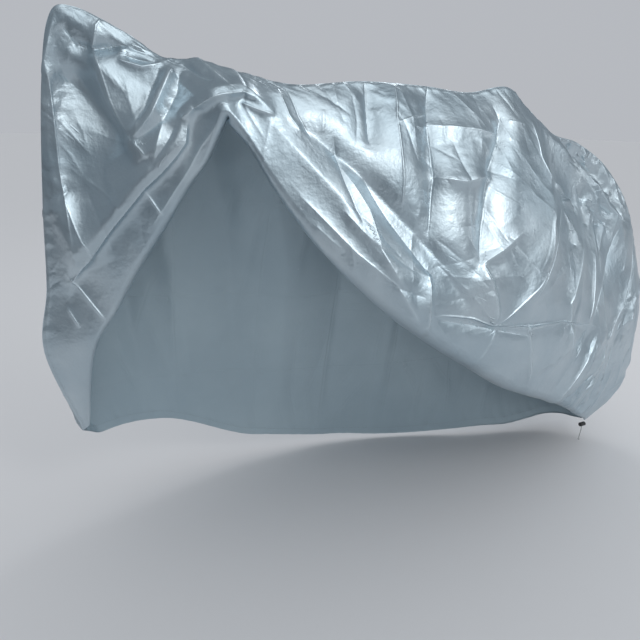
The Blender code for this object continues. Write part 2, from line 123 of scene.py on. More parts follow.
# The main folds of each panel, as lines seen from the side.  A line's points are (x, z), its
# width is the distance over which it falls to a third on its upper side (width_up) and on its
# lower side (width_low), and height is how far it stands out (-: in).
Fold = namedtuple("Fold", "name line width_up width_low height")
LEFT_FOLDS = (
    Fold("slack over front strip", ((-0.41, 0.99), (-0.44, 0.93), (-0.51, 0.85), (-0.57, 0.77),
         (-0.66, 0.65)), 0.055, 0.012, 0.022),
    Fold("hollow under bar end", ((-0.62, 1.06), (-0.58, 0.98), (-0.53, 0.91)),
         0.028, 0.045, -0.024),
    Fold("ridge under bar end", ((-0.57, 1.08), (-0.55, 1.00), (-0.53, 0.94), (-0.50, 0.89)),
         0.045, 0.014, 0.016),
    Fold("front ridge", ((-0.65, 1.10), (-0.66, 0.90), (-0.65, 0.74)), 0.030, 0.030, 0.014),
    Fold("bar end cap", ((-0.61, 1.10), (-0.57, 1.09), (-0.52, 1.10)), 0.025, 0.025, -0.012),
    Fold("hanging lobe", ((-0.44, 1.05), (-0.48, 0.98), (-0.52, 0.94)), 0.018, 0.018, 0.018),
    Fold("low front lobe", ((-0.65, 0.82), (-0.63, 0.74), (-0.60, 0.68)), 0.030, 0.030, 0.015),
    Fold("over the bar", ((-0.44, 0.97), (-0.39, 1.01), (-0.33, 1.02), (-0.28, 0.98)),
         0.028, 0.014, 0.014),
    Fold("slanting ridge", ((-0.30, 0.98), (-0.17, 0.83), (-0.07, 0.68), (-0.02, 0.57)),
         0.035, 0.030, 0.014),
    Fold("slanting hollow", ((-0.23, 0.97), (-0.11, 0.87), (0.01, 0.73), (0.10, 0.60)),
         0.035, 0.040, -0.022),
    Fold("top crease 1", ((-0.06, 1.03), (-0.09, 0.92)), 0.025, 0.025, -0.010),
    Fold("top crease 2", ((0.09, 1.03), (0.04, 0.93), (0.01, 0.76)), 0.025, 0.025, -0.010),
    Fold("cross ridge", ((0.02, 0.87), (0.11, 0.86), (0.20, 0.87)), 0.030, 0.030, 0.012),
    Fold("saddle crease", ((0.27, 1.00), (0.23, 0.92), (0.17, 0.83), (0.12, 0.69)),
         0.030, 0.035, -0.018),
    Fold("upright ridge", ((0.12, 0.69), (0.14, 0.62), (0.16, 0.56)), 0.028, 0.028, 0.012),
    Fold("saddle corner ridge", ((0.38, 0.99), (0.40, 0.88), (0.36, 0.74), (0.25, 0.61)),
         0.040, 0.035, 0.016),
    Fold("low cross crease", ((-0.01, 0.60), (0.16, 0.56), (0.42, 0.52), (0.59, 0.46)),
         0.030, 0.025, -0.012),
    Fold("tail knuckle", ((0.44, 0.97), (0.56, 0.90), (0.69, 0.83), (0.84, 0.73), (0.88, 0.64)),
         0.028, 0.055, 0.024),
    Fold("tail hollow", ((0.50, 0.96), (0.66, 0.91), (0.82, 0.83), (0.94, 0.70)),
         0.030, 0.030, -0.022),
    Fold("tail upright", ((0.60, 0.70), (0.52, 0.60), (0.45, 0.45)), 0.030, 0.030, 0.008),
    Fold("heel ridge", ((0.70, 0.45), (0.60, 0.37), (0.50, 0.28)), 0.030, 0.030, 0.014),
)
RIGHT_FOLDS = (
    Fold("from bar end", ((-0.60, 1.08), (-0.56, 0.75), (-0.50, 0.30)), 0.045, 0.040, 0.020),
    Fold("behind bar end", ((-0.52, 1.04), (-0.44, 0.75), (-0.38, 0.30)), 0.040, 0.045, -0.018),
    Fold("from stem", ((-0.38, 1.02), (-0.30, 0.70), (-0.24, 0.20)), 0.045, 0.045, 0.018),
    Fold("behind stem", ((-0.26, 0.98), (-0.16, 0.65), (-0.12, 0.15)), 0.050, 0.050, -0.014),
    Fold("mid fold", ((-0.04, 1.00), (0.00, 0.70), (0.02, 0.15)), 0.040, 0.045, 0.014),
    Fold("under saddle", ((0.22, 0.99), (0.18, 0.70), (0.18, 0.15)), 0.045, 0.050, -0.014),
    Fold("from saddle rear", ((0.36, 1.00), (0.40, 0.65), (0.42, 0.15)), 0.045, 0.045, 0.020),
    Fold("tail fold", ((0.50, 0.92), (0.62, 0.60), (0.66, 0.15)), 0.045, 0.050, -0.016),
    Fold("tail ridge", ((0.66, 0.88), (0.80, 0.60), (0.80, 0.25)), 0.045, 0.050, 0.014),
)

# The drawcord's free end, and what is on it.  The route's points are given one by one.
Spot = namedtuple("Spot", "x y z")
CORD_DIAMETER = 0.0025
CORD_ROUTE = (
    (0.7900, -0.0260, 0.0552),
    (0.7900, -0.0262, 0.0490),
    (0.7894, -0.0266, 0.0420),
    (0.7880, -0.0272, 0.0345),
    (0.7862, -0.0276, 0.0270),
    (0.7852, -0.0274, 0.0195),
    (0.7856, -0.0270, 0.0120),
)
KNOT_RADIUS = 0.0034
PIECE_GAP = 0.0003


def smooth_column(rows, column, at):
    """Catmull-Rom curve through one column of a table, read at fractional row numbers."""
    values = np.array([getattr(row, column) for row in rows])
    last = len(values) - 1
    low = np.clip(np.floor(at).astype(int), 0, last - 1)
    part = at - low
    before = values[np.clip(low - 1, 0, last)]
    start = values[low]
    end = values[low + 1]
    after = values[np.clip(low + 2, 0, last)]
    return 0.5 * (
        2.0 * start
        + (end - before) * part
        + (2.0 * before - 5.0 * start + 4.0 * end - after) * part**2
        + (3.0 * start - before - 3.0 * end + after) * part**3
    )


def smooth_point(prefix, at):
    columns = [smooth_column(STATIONS, prefix + axis, at) for axis in ("_x", "_y", "_z")]
    return np.stack(columns, axis=-1)


def even_sections(count):
    """Fractional station numbers that part the cover into sections of like length."""
    fine = np.linspace(0.0, len(STATIONS) - 1.0, 1200)
    path = smooth_point("seam", fine) + smooth_point("left", fine) + smooth_point("right", fine)
    steps = np.linalg.norm(np.diff(path, axis=0), axis=1)
    travelled = np.concatenate(([0.0], np.cumsum(steps)))
    return np.interp(np.linspace(0.0, travelled[-1], count), travelled, fine)


def unit(vectors):
    return vectors / np.linalg.norm(vectors, axis=-1, keepdims=True)


def smooth_step(value):
    value = np.clip(value, 0.0, 1.0)
    return value * value * (3.0 - 2.0 * value)


def stand_out(knots, values, at):
    """One smooth curve through a section's five distances from the straight line."""
    total = np.zeros_like(at)
    for i, knot in enumerate(knots):
        weight = np.ones_like(at)
        for j, other in enumerate(knots):
            if i != j:
                weight = weight * (at - other) / (knot - other)
        total = total + weight * values[i]
    return total


def hang(side, at, down):
    """Rows of points down one panel; down holds each section's steps, 0 at the seam to 1."""
    seam = smooth_point("seam", at)
    run = smooth_point(side, at) - seam
    along = unit(run)
    sideways = np.array([0.0, -1.0 if side == "left" else 1.0, 0.0])
    outward = unit(sideways - (along @ sideways)[:, None] * along)
    knots = (0.0, 0.25, 0.5, 0.75, 1.0)
    none = np.zeros_like(at)
    middles = [smooth_column(DRAPES, side + name, at) for name in ("_quarter", "_half", "_three")]
    rows = np.stack([none] + middles + [none], axis=-1)
    bulge = np.stack([stand_out(knots, row, steps) for row, steps in zip(rows, down)])
    points = seam[:, None, :] + run[:, None, :] * down[:, :, None]
    return points + outward[:, None, :] * bulge[:, :, None]


def surface_normals(points, sideways):
    """Unit normals of a grid of points, on the side that sideways points to."""
    normals = np.cross(np.gradient(points, axis=0), np.gradient(points, axis=1))
    return unit(normals) * sideways


def line_distance(fold, x, z):
    """Distance to a fold, which side each point is on (1 above, -1 below) and its place."""
    line = np.array(fold.line)
    upper = 1.0 if line[-1, 0] > line[0, 0] else -1.0
    nearest = np.full(x.shape, np.inf)
    above = np.zeros_like(x)
    position = np.zeros_like(x)
    for i, (start, end) in enumerate(zip(line[:-1], line[1:])):
        step = end - start
        share = ((x - start[0]) * step[0] + (z - start[1]) * step[1]) / (step @ step)
        share = np.clip(share, 0.0, 1.0)
        off_x = x - start[0] - share * step[0]
        off_z = z - start[1] - share * step[1]
        distance = np.hypot(off_x, off_z)
        across = upper * (step[0] * off_z - step[1] * off_x) / np.hypot(*step)
        closer = distance < nearest
        nearest = np.where(closer, distance, nearest)
        above = np.where(closer, across / np.maximum(distance, TINY), above)
        position = np.where(closer, (i + share) / (len(line) - 1), position)
    return nearest, above, position


def side_width(fold, above):
    return fold.width_low + (fold.width_up - fold.width_low) * (0.5 + 0.5 * above)


def end_taper(position):
    return 1.0 - (2.0 * position - 1.0) ** 4 * END_DROP


def fold_height(fold, x, z):
    """How far one fold lifts the cloth at each (x, z)."""
    nearest, above, position = line_distance(fold, x, z)
    width = side_width(fold, above)
    taper = end_taper(position)
    return fold.height * taper * np.exp(-((nearest / width) ** FOLD_SHARPNESS))


def crease(points, down, folds, normals):
    """Lift a panel's points by all its folds, less so close to its seam and its lower edge."""
    fade = smooth_step(down / SEAM_FADE) * smooth_step((1.0 - down) / EDGE_FADE)
    lift = np.zeros(points.shape[:2])
    for fold in folds:
        lift += fold_height(fold, points[:, :, 0], points[:, :, 2])
    return points + normals * (lift * fade)[:, :, None]


# Creases of the film, as lines seen from the side like the folds above.  Each bends the cloth
# over a broad width (height), and is pressed to a thin line along its middle (press).  Most
# points of LEFT_CREASES, and some of LEFT_FOLDS, were computed by another program.
Crease = namedtuple("Crease", "name line width_up width_low height press")
LEFT_CREASES = (
    Crease("lip over the strip", ((-0.43, 0.97), (-0.44, 0.93), (-0.48, 0.88), (-0.51, 0.85),
           (-0.57, 0.77), (-0.63, 0.68), (-0.66, 0.62)), 0.030, 0.004, 0.010, 0.0010),
    Crease("strip inner edge", ((-0.37, 0.98), (-0.39, 0.95), (-0.41, 0.92), (-0.45, 0.85),
           (-0.50, 0.77)), 0.012, 0.014, 0.005, 0.0008),
    Crease("strip cross 1", ((-0.51, 0.84), (-0.48, 0.79)), 0.014, 0.012, 0.002, 0.0012),
    Crease("strip cross 2", ((-0.66, 0.66), (-0.60, 0.56)), 0.014, 0.012, 0.002, 0.0020),
    Crease("strip cross 3", ((-0.67, 0.58), (-0.65, 0.54)), 0.012, 0.010, 0.002, 0.0014),
    Crease("ridge under bar end", ((-0.57, 1.09), (-0.56, 1.05), (-0.55, 1.00), (-0.53, 0.94)),
           0.030, 0.010, 0.008, 0.0012),
    Crease("ridge runs on", ((-0.53, 0.94), (-0.50, 0.90)), 0.020, 0.014, 0.006, 0.0012),
    Crease("floor of the hollow", ((-0.62, 1.08), (-0.60, 1.02), (-0.56, 0.97), (-0.51, 0.90)),
           0.030, 0.030, -0.006, 0.0),
    Crease("between the lobes", ((-0.46, 1.06), (-0.48, 1.03), (-0.50, 0.99), (-0.53, 0.95)),
           0.013, 0.012, -0.010, -0.0012),
    Crease("narrow lobe", ((-0.44, 1.06), (-0.46, 1.03), (-0.49, 0.98), (-0.52, 0.94)),
           0.013, 0.014, 0.009, 0.0012),
    Crease("narrow lobe's far side", ((-0.43, 1.05), (-0.44, 1.02), (-0.47, 0.97),
           (-0.52, 0.93)), 0.012, 0.014, -0.010, -0.0010),
    Crease("over the bar", ((-0.44, 0.97), (-0.42, 0.99), (-0.39, 1.01), (-0.33, 1.02),
           (-0.31, 1.01)), 0.016, 0.006, 0.010, 0.0012),
    Crease("over the bar, low branch", ((-0.34, 1.00), (-0.31, 0.99), (-0.28, 0.98)),
           0.012, 0.010, 0.005, 0.0010),
    Crease("ear", ((-0.45, 1.07), (-0.40, 1.09), (-0.38, 1.06), (-0.36, 1.03)),
           0.014, 0.010, 0.004, 0.0012),
    Crease("shelf", ((-0.42, 1.07), (-0.40, 1.05), (-0.38, 1.04)), 0.012, 0.012, -0.008, -0.0010),
    Crease("front edge", ((-0.63, 1.14), (-0.65, 1.07), (-0.65, 0.96), (-0.65, 0.87),
           (-0.64, 0.69)), 0.016, 0.020, 0.008, 0.0012),
    Crease("cap", ((-0.62, 1.13), (-0.60, 1.10), (-0.57, 1.09)), 0.010, 0.014, -0.007, -0.0012),
    Crease("cap to pinch", ((-0.57, 1.09), (-0.52, 1.10), (-0.45, 1.08)),
           0.014, 0.010, -0.007, -0.0012),
    Crease("cap upright", ((-0.55, 1.14), (-0.56, 1.13), (-0.57, 1.09)),
           0.012, 0.010, 0.004, 0.0012),
    Crease("pocket top", ((-0.53, 1.08), (-0.50, 1.10), (-0.45, 1.08)),
           0.008, 0.010, 0.005, 0.0010),
    Crease("pocket low", ((-0.53, 1.07), (-0.49, 1.06), (-0.45, 1.07)),
           0.010, 0.008, 0.007, 0.0010),
    Crease("pocket middle", ((-0.52, 1.08), (-0.46, 1.07)), 0.008, 0.006, -0.008, -0.0012),
    Crease("low front lobe", ((-0.65, 0.82), (-0.63, 0.75), (-0.61, 0.69)),
           0.020, 0.035, 0.008, 0.0008),
    Crease("low front dip", ((-0.57, 0.91), (-0.58, 0.85), (-0.57, 0.81)),
           0.020, 0.020, -0.006, 0.0),
    Crease("fan 1", ((-0.47, 0.97), (-0.49, 0.90)), 0.010, 0.010, 0.005, 0.0008),
    Crease("fan 2", ((-0.45, 0.96), (-0.50, 0.88)), 0.008, 0.010, -0.006, -0.0008),
    Crease("pressed pair 1", ((-0.26, 1.03), (-0.25, 0.98), (-0.23, 0.95)),
           0.020, 0.014, 0.003, 0.0012),
    Crease("pressed pair 2", ((-0.24, 1.03), (-0.23, 0.98), (-0.21, 0.94)),
           0.014, 0.020, -0.003, -0.0010),
    Crease("top 1", ((-0.06, 1.05), (-0.08, 0.98), (-0.09, 0.93)), 0.035, 0.040, -0.007, -0.0016),
    Crease("top 2", ((0.01, 1.05), (-0.02, 0.98), (-0.03, 0.91), (-0.04, 0.81)),
           0.040, 0.040, 0.007, 0.0014),
    Crease("top 3", ((0.10, 1.05), (0.06, 0.97), (0.03, 0.85), (0.01, 0.75)),
           0.035, 0.050, -0.009, -0.0016),
    Crease("bright facet's top", ((-0.02, 0.97), (0.07, 0.99)), 0.025, 0.030, 0.006, 0.0010),
    Crease("slope fold 1", ((-0.16, 0.89), (-0.12, 0.81), (-0.11, 0.74), (-0.07, 0.67)),
           0.016, 0.020, 0.007, 0.0010),
    Crease("slope fold 2", ((-0.11, 0.87), (-0.07, 0.79), (0.02, 0.66)),
           0.020, 0.018, -0.010, -0.0008),
    Crease("slope fold 3", ((-0.17, 0.81), (-0.12, 0.75)), 0.014, 0.014, 0.004, 0.0008),
    Crease("slope's lower edge", ((-0.25, 0.84), (-0.15, 0.73), (-0.08, 0.67), (-0.02, 0.57)),
           0.020, 0.035, 0.007, 0.0008),
    Crease("pillow top", ((0.06, 0.97), (0.16, 0.96), (0.25, 0.95)), 0.020, 0.025, 0.007, 0.0010),
    Crease("pillow slant", ((0.05, 0.93), (0.15, 0.94), (0.25, 0.95)), 0.014, 0.016, -0.005, 0.0),
    Crease("pillow edge", ((0.04, 0.87), (0.10, 0.86), (0.20, 0.87)), 0.018, 0.014, 0.006, 0.0010),
    Crease("saddle to hub", ((0.27, 0.99), (0.24, 0.93), (0.18, 0.86), (0.16, 0.79),
           (0.12, 0.69)), 0.030, 0.040, -0.010, -0.0016),
    Crease("saddle corner", ((0.38, 0.98), (0.38, 0.90), (0.41, 0.83), (0.34, 0.71),
           (0.31, 0.66)), 0.045, 0.040, 0.011, 0.0014),
    Crease("small block", ((0.28, 0.98), (0.34, 0.97)), 0.016, 0.014, 0.004, 0.0008),
    Crease("knuckle edge", ((0.42, 0.99), (0.51, 0.95), (0.67, 0.86), (0.82, 0.74),
           (0.92, 0.66)), 0.010, 0.050, 0.012, 0.0012),
    Crease("foil 1", ((0.66, 0.93), (0.69, 0.88)), 0.016, 0.014, -0.006, -0.0012),
    Crease("foil 2", ((0.86, 0.86), (0.90, 0.78)), 0.016, 0.014, 0.006, 0.0012),
    Crease("foil 3", ((0.74, 0.90), (0.80, 0.83), (0.86, 0.80)), 0.014, 0.014, 0.005, 0.0012),
    Crease("tail line 1", ((0.51, 0.77), (0.37, 0.71), (0.28, 0.60)), 0.020, 0.020, 0.006, 0.0022),
    Crease("tail line 2", ((0.61, 0.69), (0.52, 0.62), (0.44, 0.56), (0.47, 0.42)),
           0.025, 0.025, 0.006, 0.0024),
    Crease("tail line 3", ((0.68, 0.64), (0.62, 0.56), (0.57, 0.48)), 0.020, 0.020, 0.006, 0.0022),
    Crease("hooked fold", ((0.12, 0.69), (0.19, 0.72), (0.25, 0.75)), 0.016, 0.008, 0.007, 0.0010),
    Crease("hooked fold, low", ((0.13, 0.69), (0.19, 0.69)), 0.010, 0.014, -0.004, 0.0),
    Crease("hub up", ((0.13, 0.69), (0.15, 0.63), (0.16, 0.57)), 0.012, 0.014, 0.006, 0.0026),
    Crease("hub right", ((0.31, 0.65), (0.25, 0.61), (0.17, 0.56)), 0.014, 0.014, 0.008, 0.0022),
    Crease("pressed across", ((0.00, 0.60), (0.11, 0.58), (0.16, 0.56), (0.28, 0.53),
           (0.42, 0.52), (0.62, 0.46)), 0.025, 0.025, 0.005, 0.0028),
    Crease("pressed across, double", ((0.02, 0.585), (0.12, 0.56), (0.28, 0.515)),
           0.014, 0.014, -0.003, -0.0014),
    Crease("hub down", ((0.27, 0.53), (0.31, 0.39)), 0.025, 0.025, 0.005, 0.0028),
    Crease("hub down left", ((0.17, 0.55), (0.13, 0.48)), 0.014, 0.014, 0.003, 0.0008),
    Crease("bright upright", ((0.00, 0.69), (-0.01, 0.62), (-0.01, 0.54)),
           0.018, 0.014, 0.008, 0.0012),
    Crease("beside the upright", ((-0.05, 0.67), (-0.02, 0.55)), 0.012, 0.010, -0.006, 0.0),
    Crease("heel band 1", ((0.62, 0.43), (0.55, 0.37), (0.48, 0.30), (0.48, 0.27)),
           0.014, 0.012, 0.010, 0.0014),
    Crease("heel band 2", ((0.59, 0.45), (0.51, 0.40), (0.45, 0.33)), 0.010, 0.012, -0.006, 0.0),
    Crease("heel band 3", ((0.65, 0.40), (0.58, 0.33), (0.51, 0.28)), 0.010, 0.012, -0.007, -0.001),
    Crease("rear streak 1", ((0.93, 0.56), (0.83, 0.47), (0.70, 0.40), (0.68, 0.28)),
           0.018, 0.016, 0.007, 0.0014),
    Crease("rear streak 2", ((0.86, 0.69), (0.75, 0.58), (0.60, 0.47)),
           0.018, 0.018, -0.006, -0.001),
    Crease("rear streak 3", ((0.98, 0.62), (0.90, 0.50), (0.80, 0.38), (0.76, 0.24)),
           0.018, 0.018, -0.006, -0.0012),
)
RIGHT_CREASES = (
    Crease("pressed down 1", ((-0.42, 1.05), (-0.42, 0.15)), 0.030, 0.030, -0.003, -0.0014),
    Crease("pressed down 2", ((-0.22, 1.00), (-0.20, 0.10)), 0.030, 0.030, 0.003, 0.0014),
    Crease("pressed down 3", ((0.00, 1.02), (0.00, 0.05)), 0.030, 0.030, -0.003, -0.0014),
    Crease("pressed down 4", ((0.21, 1.02), (0.20, 0.05)), 0.030, 0.030, 0.003, 0.0014),
    Crease("pressed down 5", ((0.42, 0.98), (0.41, 0.05)), 0.030, 0.030, -0.003, -0.0014),
    Crease("pressed down 6", ((0.63, 0.90), (0.61, 0.08)), 0.030, 0.030, 0.003, 0.0014),
    Crease("pressed down 7", ((0.84, 0.82), (0.80, 0.10)), 0.030, 0.030, -0.003, -0.0014),
    Crease("pressed across 1", ((-0.64, 0.80), (0.10, 0.78), (0.95, 0.74)),
           0.030, 0.030, 0.003, 0.0014),
    Crease("pressed across 2", ((-0.64, 0.55), (0.10, 0.53), (1.00, 0.50)),
           0.030, 0.030, -0.003, -0.0014),
    Crease("pressed across 3", ((-0.64, 0.32), (0.10, 0.28), (0.95, 0.26)),
           0.030, 0.030, 0.003, 0.0014),
)

# Small creases left by packing and handling: how many to the panel, over what part of the
# side view, how long and wide they are, how high, and which way they mostly run.
Crumple = namedtuple("Crumple", "name count x_low x_high z_low z_high length width height slope")
LEFT_CRUMPLES = (
    Crumple("bar end", 18, -0.66, -0.36, 0.92, 1.16, 0.07, 0.010, 0.0018, -70.0),
    Crumple("front edge", 22, -0.72, -0.64, 0.60, 1.14, 0.04, 0.006, 0.0013, 40.0),
    Crumple("front", 7, -0.66, -0.50, 0.60, 0.92, 0.10, 0.016, 0.0016, -55.0),
    Crumple("top", 34, -0.36, 0.42, 0.90, 1.06, 0.10, 0.014, 0.0022, -65.0),
    Crumple("slope", 26, -0.20, 0.36, 0.55, 0.95, 0.16, 0.016, 0.0022, -58.0),
    Crumple("level", 16, 0.00, 0.60, 0.35, 0.80, 0.14, 0.014, 0.0014, 5.0),
    Crumple("foil behind the knuckle", 60, 0.52, 1.02, 0.68, 0.98, 0.07, 0.010, 0.0056, -40.0),
    Crumple("tail", 26, 0.40, 0.95, 0.40, 0.75, 0.16, 0.014, 0.0018, 52.0),
    Crumple("heel", 50, 0.48, 1.02, 0.10, 0.50, 0.11, 0.010, 0.0050, 50.0),
)
RIGHT_CRUMPLES = (
    Crumple("front", 40, -0.70, -0.20, 0.20, 1.10, 0.18, 0.016, 0.0030, 80.0),
    Crumple("middle", 40, -0.25, 0.40, 0.05, 1.05, 0.18, 0.016, 0.0026, 80.0),
    Crumple("tail", 80, 0.35, 1.04, 0.05, 1.00, 0.13, 0.014, 0.0036, 70.0),
    Crumple("across", 40, -0.60, 0.95, 0.10, 1.00, 0.14, 0.014, 0.0026, 0.0),
)

# Where the film is crinkled like foil: the middle and reach of each patch in the side view.
Crinkled = namedtuple("Crinkled", "name x z reach amount")
LEFT_CRINKLED = (
    Crinkled("tip", -0.62, 1.13, 0.05, 0.8),
    Crinkled("front edge, high", -0.67, 0.98, 0.05, 0.8),
    Crinkled("front edge", -0.67, 0.84, 0.05, 0.8),
    Crinkled("front edge, low", -0.68, 0.74, 0.04, 0.4),
    Crinkled("pinch", -0.44, 1.05, 0.06, 0.5),
    Crinkled("behind the knuckle", 0.62, 0.93, 0.07, 1.0),
    Crinkled("behind the knuckle, middle", 0.78, 0.87, 0.09, 1.0),
    Crinkled("behind the knuckle, rear", 0.92, 0.76, 0.09, 1.0),
    Crinkled("heel", 0.62, 0.36, 0.07, 0.8),
    Crinkled("heel, rear", 0.74, 0.30, 0.09, 1.0),
    Crinkled("heel, high", 0.86, 0.42, 0.09, 0.8),
    Crinkled("top", 0.00, 1.02, 0.16, 0.3),
    Crinkled("saddle", 0.15, 0.92, 0.12, 0.3),
)
RIGHT_CRINKLED = (
    Crinkled("tail", 0.86, 0.70, 0.20, 0.8),
    Crinkled("tail, low", 0.84, 0.35, 0.16, 0.8),
    Crinkled("tip", -0.58, 1.06, 0.10, 0.6),
    Crinkled("top", 0.10, 0.98, 0.25, 0.3),
)

# The fine sheets.  Their grid is closer along the seam and the hem, in shares of the hem's band.
FINE_SECTIONS = 541                    # odd, as the inner face takes every second row
FINE_LEFT = 101                        # steps between the borders of the left panel
FINE_TURN = 9                          # steps round its rolled fold
FINE_TUCK = 15                         # steps up its turned-in part
FINE_RIGHT = 125                       # steps between the borders of the right panel
HEM_BAND = 0.025
SEAM_ROWS = (0.0, 0.12, 0.24, 0.36, 0.44, 0.6)
HEM_ROWS = (1.3, 1.15, 1.05, 0.96, 0.88, 0.76, 0.5, 0.25, 0.08, 0.0)
FILM_LIFT = 0.0012                     # how far the outer face lies outside the panel's points
FILM_EDGE = 0.0005                     # the sheet's thickness at its borders
FILM_INNER = 0.0016                    # the sheet's thickness elsewhere
FILM_EDGE_POINTS = 12.0                # grid points over which it thickens

CREASE_BLUNT = 0.0024                  # how round a crease's edge is
PRESS_WIDTH = 0.0050                   # of the raised line along a crease
PRESS_SHARE = 0.8                      # share of that line's height that the mesh itself has
MARK_REACH = 0.008                     # a pressed line fades from here to twice as far away,
MARK_CLEAR = 0.006                     # and where another line is as near, to within this
FINE_FADE = 0.03                       # share of a panel over which creases fade at its borders
FINE_MOST = 0.024                      # creases that meet add up to no more than this

CRUMPLE_TURN = 24.0                    # degrees by which small creases stray from their slope
CRUMPLE_BEND = 0.06                    # how bent they are, as a share of half their length
CRUMPLE_UP = 0.55                      # share of them that stand out
CRUMPLE_PRESS = 0.25                   # height of their pressed line, as a share of their own

SEAM_WIDTH = 0.010                     # the sewn border beside the seam
SEAM_RAISE = 0.0010                    # how proud it stands
SEAM_EDGE = 0.0020                     # width of the step beside it, and beside the hem
HEM_RAISE = 0.0009                     # how proud the right hem stands on its inner side
PUCKER_PITCH = 0.034
PUCKER_HEIGHT = 0.0012
PUCKER_REACH = 0.030


def crease_height(fold, x, z):
    """A crease that comes to an edge, as film does, with its pressed line on top."""
    nearest, above, position = line_distance(fold, x, z)
    width = side_width(fold, above)
    taper = end_taper(position)
    blunt = np.sqrt(nearest**2 + CREASE_BLUNT**2) - CREASE_BLUNT
    broad = fold.height * np.exp(-blunt / width)
    return taper * (broad + PRESS_SHARE * fold.press * np.exp(-((nearest / PRESS_WIDTH) ** 2)))


def crumple_lines(table, seed):
    """Small creases scattered over each row's part of the side view, the same on every run."""
    rng = np.random.default_rng(seed)
    creases = []
    for row in table:
        for _ in range(row.count):
            x = rng.uniform(row.x_low, row.x_high)
            z = rng.uniform(row.z_low, row.z_high)
            turn = math.radians(row.slope + rng.normal(0.0, CRUMPLE_TURN))
            reach = 0.5 * row.length * rng.uniform(0.4, 1.5)
            step = (reach * math.cos(turn), reach * math.sin(turn))
            bend = rng.normal(0.0, CRUMPLE_BEND, 2) * reach
            line = ((x - step[0], z - step[1]), (x + bend[0], z + bend[1]),
                    (x + step[0], z + step[1]))
            wide = row.width * rng.uniform(0.5, 1.8)
            narrow = wide * rng.uniform(0.4, 1.0)
            height = row.height * rng.uniform(0.4, 1.3)
            height *= 1.0 if rng.random() < CRUMPLE_UP else -1.0
            press = CRUMPLE_PRESS * height
            creases.append(Crease(row.name, line, wide, narrow, height, press))
    return creases


def fine_down(length, steps):
    """Steps down a panel as shares of its length, close together along its two borders."""
    band = np.minimum(HEM_BAND, 0.2 * length)[:, None]
    top = band * np.array(SEAM_ROWS)[None, :]
    low = length[:, None] - band * np.array(HEM_ROWS)[None, :]
    middle = top[:, -1:] + (low[:, :1] - top[:, -1:]) * np.linspace(0.0, 1.0, steps)[None, 1:-1]
    return np.concatenate([top, middle, low], axis=1) / length[:, None]


def fine_creases(points, down, creases, normals):
    fade = smooth_step(down / FINE_FADE) * smooth_step((1.0 - down) / FINE_FADE)
    lift = np.zeros(points.shape[:2])
    for fold in creases:
        lift += crease_height(fold, points[:, :, 0], points[:, :, 2])
    lift = FINE_MOST * np.tanh(lift / FINE_MOST)
    return points + normals * (lift * fade)[:, :, None]


def pressed_marks(points, creases):
    """Signed distance to the nearest pressed line at each point, and that line's height."""
    closest = np.full(points.shape[:2], np.inf)
    second = np.full(points.shape[:2], np.inf)
    marks = np.zeros(points.shape[:2] + (3,))
    for fold in creases:
        nearest, above, position = line_distance(fold, points[:, :, 0], points[:, :, 2])
        strength = fold.press * (1.0 - (2.0 * position - 1.0) ** 6)
        strength = strength * smooth_step(2.0 - nearest / MARK_REACH)
        closer = nearest < closest
        second = np.where(closer, closest, np.minimum(second, nearest))
        closest = np.where(closer, nearest, closest)
        marks[:, :, 0] = np.where(closer, above * nearest, marks[:, :, 0])
        marks[:, :, 1] = np.where(closer, strength, marks[:, :, 1])
    # Halfway between two lines neither is drawn.
    marks[:, :, 1] *= smooth_step((second - closest) / MARK_CLEAR)
    return marks


def crinkle_marks(points, patches):
    """How crinkled the film is at each point, 0 to 1."""
    marks = np.zeros(points.shape[:2] + (3,))
    for patch in patches:
        off = np.hypot(points[:, :, 0] - patch.x, points[:, :, 2] - patch.z) / patch.reach
        marks[:, :, 0] = np.maximum(marks[:, :, 0], patch.amount * np.exp(-(off**2)))
    return marks


def all_marks(points, pressed, crumples, patches):
    """Lines in four layers, so that those that cross seldom hide each other, and patches."""
    return {
        "pressed_1": pressed_marks(points, pressed[0::2]),
        "pressed_2": pressed_marks(points, pressed[1::2]),
        "crumpled_1": pressed_marks(points, crumples[0::2]),
        "crumpled_2": pressed_marks(points, crumples[1::2]),
        "crinkled": crinkle_marks(points, patches),
    }


def path_lengths(points):
    """Metres travelled along the rows of a grid, for stitches and puckers."""
    steps = np.linalg.norm(np.diff(points, axis=0), axis=-1)
    return np.concatenate((np.zeros((1,) + steps.shape[1:]), np.cumsum(steps, axis=0)))


def puckers(travelled):
    """Uneven gathers along a sewn border: -1 to 1 at each point of the path."""
    turns = travelled * 2.0 * math.pi / PUCKER_PITCH
    return 0.5 * np.sin(turns) + 0.3 * np.sin(turns / 1.62 + 1.3) + 0.2 * np.sin(turns * 1.4 + 4.1)


def panel_lengths(side, at):
    """Each section's straight length from the seam to the panel's lower edge."""
    return np.linalg.norm(smooth_point(side, at) - smooth_point("seam", at), axis=1)


def near(distance, reach):
    """1 on a line, fading away beyond its reach."""
    return np.exp(-((distance / reach) ** 2))


